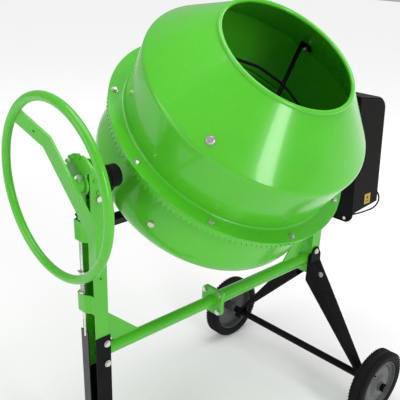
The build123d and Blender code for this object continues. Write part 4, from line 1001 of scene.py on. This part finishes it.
def build_power_lead(look):
    """Rubber lead hanging in a slack loop between the two glands."""
    curve = bpy.data.curves.new("power_cable", "CURVE")
    curve.dimensions = "3D"
    curve.resolution_u = 16
    curve.bevel_depth = LEAD_DIAMETER / 2
    curve.bevel_resolution = 5
    curve.use_fill_caps = True
    spline = curve.splines.new("NURBS")
    route = [TILT_CENTRE + Vector(place) * MM for place in lead_route()]
    spline.points.add(len(route) - 1)
    for point, place in zip(spline.points, route):
        point.co = (*place, 1.0)
    spline.order_u = 3
    spline.use_endpoint_u = True
    lead = bpy.data.objects.new("power_cable", curve)
    bpy.context.scene.collection.objects.link(lead)
    dress(lead, "soft_black", "base", "power_lead")


# --- stage --------------------------------------------------------------------

CAMERA_PLACE = (-1.22678, -1.1082, 1.368)
CAMERA_TURN = -41.72
CAMERA_DROP = 26.74
CAMERA_ROLL = 0.86
CAMERA_LENS = 58.3
FLOOR_HALF = 14.0


def camera_matrix():
    a = radians(CAMERA_TURN)
    e = radians(CAMERA_DROP)
    r = radians(CAMERA_ROLL)
    back = Vector((sin(a) * cos(e), -cos(a) * cos(e), sin(e)))
    right = Vector((cos(a), sin(a), 0))
    up = back.cross(right)
    rolled = right * cos(r) + up * sin(r)
    upward = up * cos(r) - right * sin(r)
    turn = Matrix((rolled, upward, back)).transposed().to_4x4()
    return Matrix.Translation(CAMERA_PLACE) @ turn


def soft_light(name, place, target, size, power, colour=(1, 1, 1)):
    data = bpy.data.lights.new(name, "AREA")
    data.shape = "RECTANGLE"
    data.size, data.size_y = size
    data.energy = power
    data.color = colour
    light = bpy.data.objects.new(name, data)
    light.location = place
    light.rotation_euler = (Vector(target) - Vector(place)).to_track_quat("-Z", "Y").to_euler()
    bpy.context.scene.collection.objects.link(light)
    return light


def build_stage(look):
    """Camera, soft lights, pale world and floor."""
    data = bpy.data.cameras.new("camera")
    data.lens = CAMERA_LENS
    data.sensor_width = 36.0
    data.shift_x = 0.082
    data.shift_y = 0.153
    data.clip_end = 100.0
    camera = bpy.data.objects.new("camera", data)
    camera.matrix_world = camera_matrix()
    bpy.context.scene.collection.objects.link(camera)
    bpy.context.scene.camera = camera
    target = (0, 0, 0.8)
    soft_light("key softbox", (-0.50, -2.90, 1.75), (0.0, 0.0, 1.05), (0.60, 1.4), look.key_power)
    soft_light("top softbox", (0.2, -0.3, 3.6), target, (2.6, 2.6), look.fill_power)
    soft_light("left softbox", (-3.0, 0.8, 1.9), target, (1.6, 2.2), look.fill_power * 0.4)
    soft_light("right softbox", (3.3, 0.2, 1.7), target, (1.2, 2.0), look.fill_power * 0.3)
    world = bpy.data.worlds.new("pale world")
    world.use_nodes = True
    shader = world.node_tree.nodes["Background"]
    shader.inputs[0].default_value = (1.0, 1.0, 1.0, 1.0)
    shader.inputs[1].default_value = look.world_strength
    bpy.context.scene.world = world
    bpy.context.scene.view_settings.view_transform = "Standard"
    half = FLOOR_HALF
    corners = [(-half, -half, 0), (half, -half, 0), (half, half, 0), (-half, half, 0)]
    floor = new_object("floor", corners, [(0, 1, 2, 3)])
    floor.data.materials.append(pale_stage("pale floor", (0.92, 0.92, 0.92)))


# --- add-on -------------------------------------------------------------------


class MixerLook(bpy.types.PropertyGroup):
    green: bpy.props.FloatVectorProperty(
        name="Green", description="Colour of the drum, posts and handwheel", subtype="COLOR",
        default=(0.082, 0.50, 0.022), min=0.0, max=1.0)
    black: bpy.props.FloatVectorProperty(
        name="Black", description="Colour of the legs and the tilting frame", subtype="COLOR",
        default=(0.006, 0.006, 0.0065), min=0.0, max=1.0)
    drum_segments: bpy.props.IntProperty(
        name="Drum segments", description="How finely the drum is turned", default=192, min=48, max=360)
    lead_length: bpy.props.FloatProperty(
        name="Lead length", description="Length of the motor's lead between its glands",
        default=0.32, unit="LENGTH")
    key_power: bpy.props.FloatProperty(
        name="Key light", description="Power of the tall softbox", default=29.0, unit="POWER")
    fill_power: bpy.props.FloatProperty(
        name="Fill light", description="Power of the large soft lights", default=64.0, unit="POWER")
    world_strength: bpy.props.FloatProperty(
        name="Surroundings", description="Brightness of the white surroundings", default=0.42, min=0.0)


def operator(identifier, label, note, build):
    """An operator class that runs one build function with the scene's settings."""

    def execute(self, context):
        build(context.scene.mixer_look)
        return {"FINISHED"}

    name = "MIXER_OT_" + identifier
    return type(name, (bpy.types.Operator,), {
        "__doc__": note, "bl_idname": "mixer." + identifier, "bl_label": label,
        "bl_options": {"REGISTER", "UNDO"}, "execute": execute})


OPERATORS = [
    operator("materials", "Materials", "Paint every frame part with its finish", build_materials),
    operator("stage", "Stage", "Set the camera, lights and floor", build_stage),
    operator("drum", "Drum", "Turn both drum shells and the mouth bead", build_drum),
    operator("waist_bolts", "Waist bolts", "Stand the bolt heads round the waist", build_waist_bolts),
    operator("blade_bolts", "Drum bolts", "Turn the bolt heads that hold the mixing bars",
             build_blade_bolts),
    operator("handwheel", "Handwheel", "Bend the handwheel's ring", build_handwheel),
    operator("frame_welds", "Stand welds", "Run beads along the stand's joints", build_frame_welds),
    operator("yoke_welds", "Yoke welds", "Run beads round the trunnions", build_yoke_welds),
    operator("post_rivets", "Post rivets", "Set the rivets in the handwheel post", build_post_rivets),
    operator("wheels", "Wheels", "Mould the tyres and press the rims", build_wheels),
    operator("lock_spring", "Lock spring", "Wind the lock's coil spring", build_lock_spring),
    operator("power_lead", "Power lead", "Hang the motor's lead", build_power_lead),
]


class MIXER_PT_pieces(bpy.types.Panel):
    """Lists the mixer's pieces and its settings"""

    bl_label = "Concrete mixer"
    bl_idname = "MIXER_PT_pieces"
    bl_space_type = "VIEW_3D"
    bl_region_type = "UI"
    bl_category = "Mixer"

    def draw(self, context):
        for name in MixerLook.__annotations__:
            self.layout.prop(context.scene.mixer_look, name)
        for item in OPERATORS:
            self.layout.operator(item.bl_idname)


CLASSES = [MixerLook, *OPERATORS, MIXER_PT_pieces]


def register():
    for item in CLASSES:
        bpy.utils.register_class(item)
    bpy.types.Scene.mixer_look = bpy.props.PointerProperty(type=MixerLook)


def unregister():
    del bpy.types.Scene.mixer_look
    for item in reversed(CLASSES):
        bpy.utils.unregister_class(item)


def main():
    register()
    for item in OPERATORS:
        group, name = item.bl_idname.split(".")
        getattr(getattr(bpy.ops, group), name)()


if __name__ == "__main__":
    main()
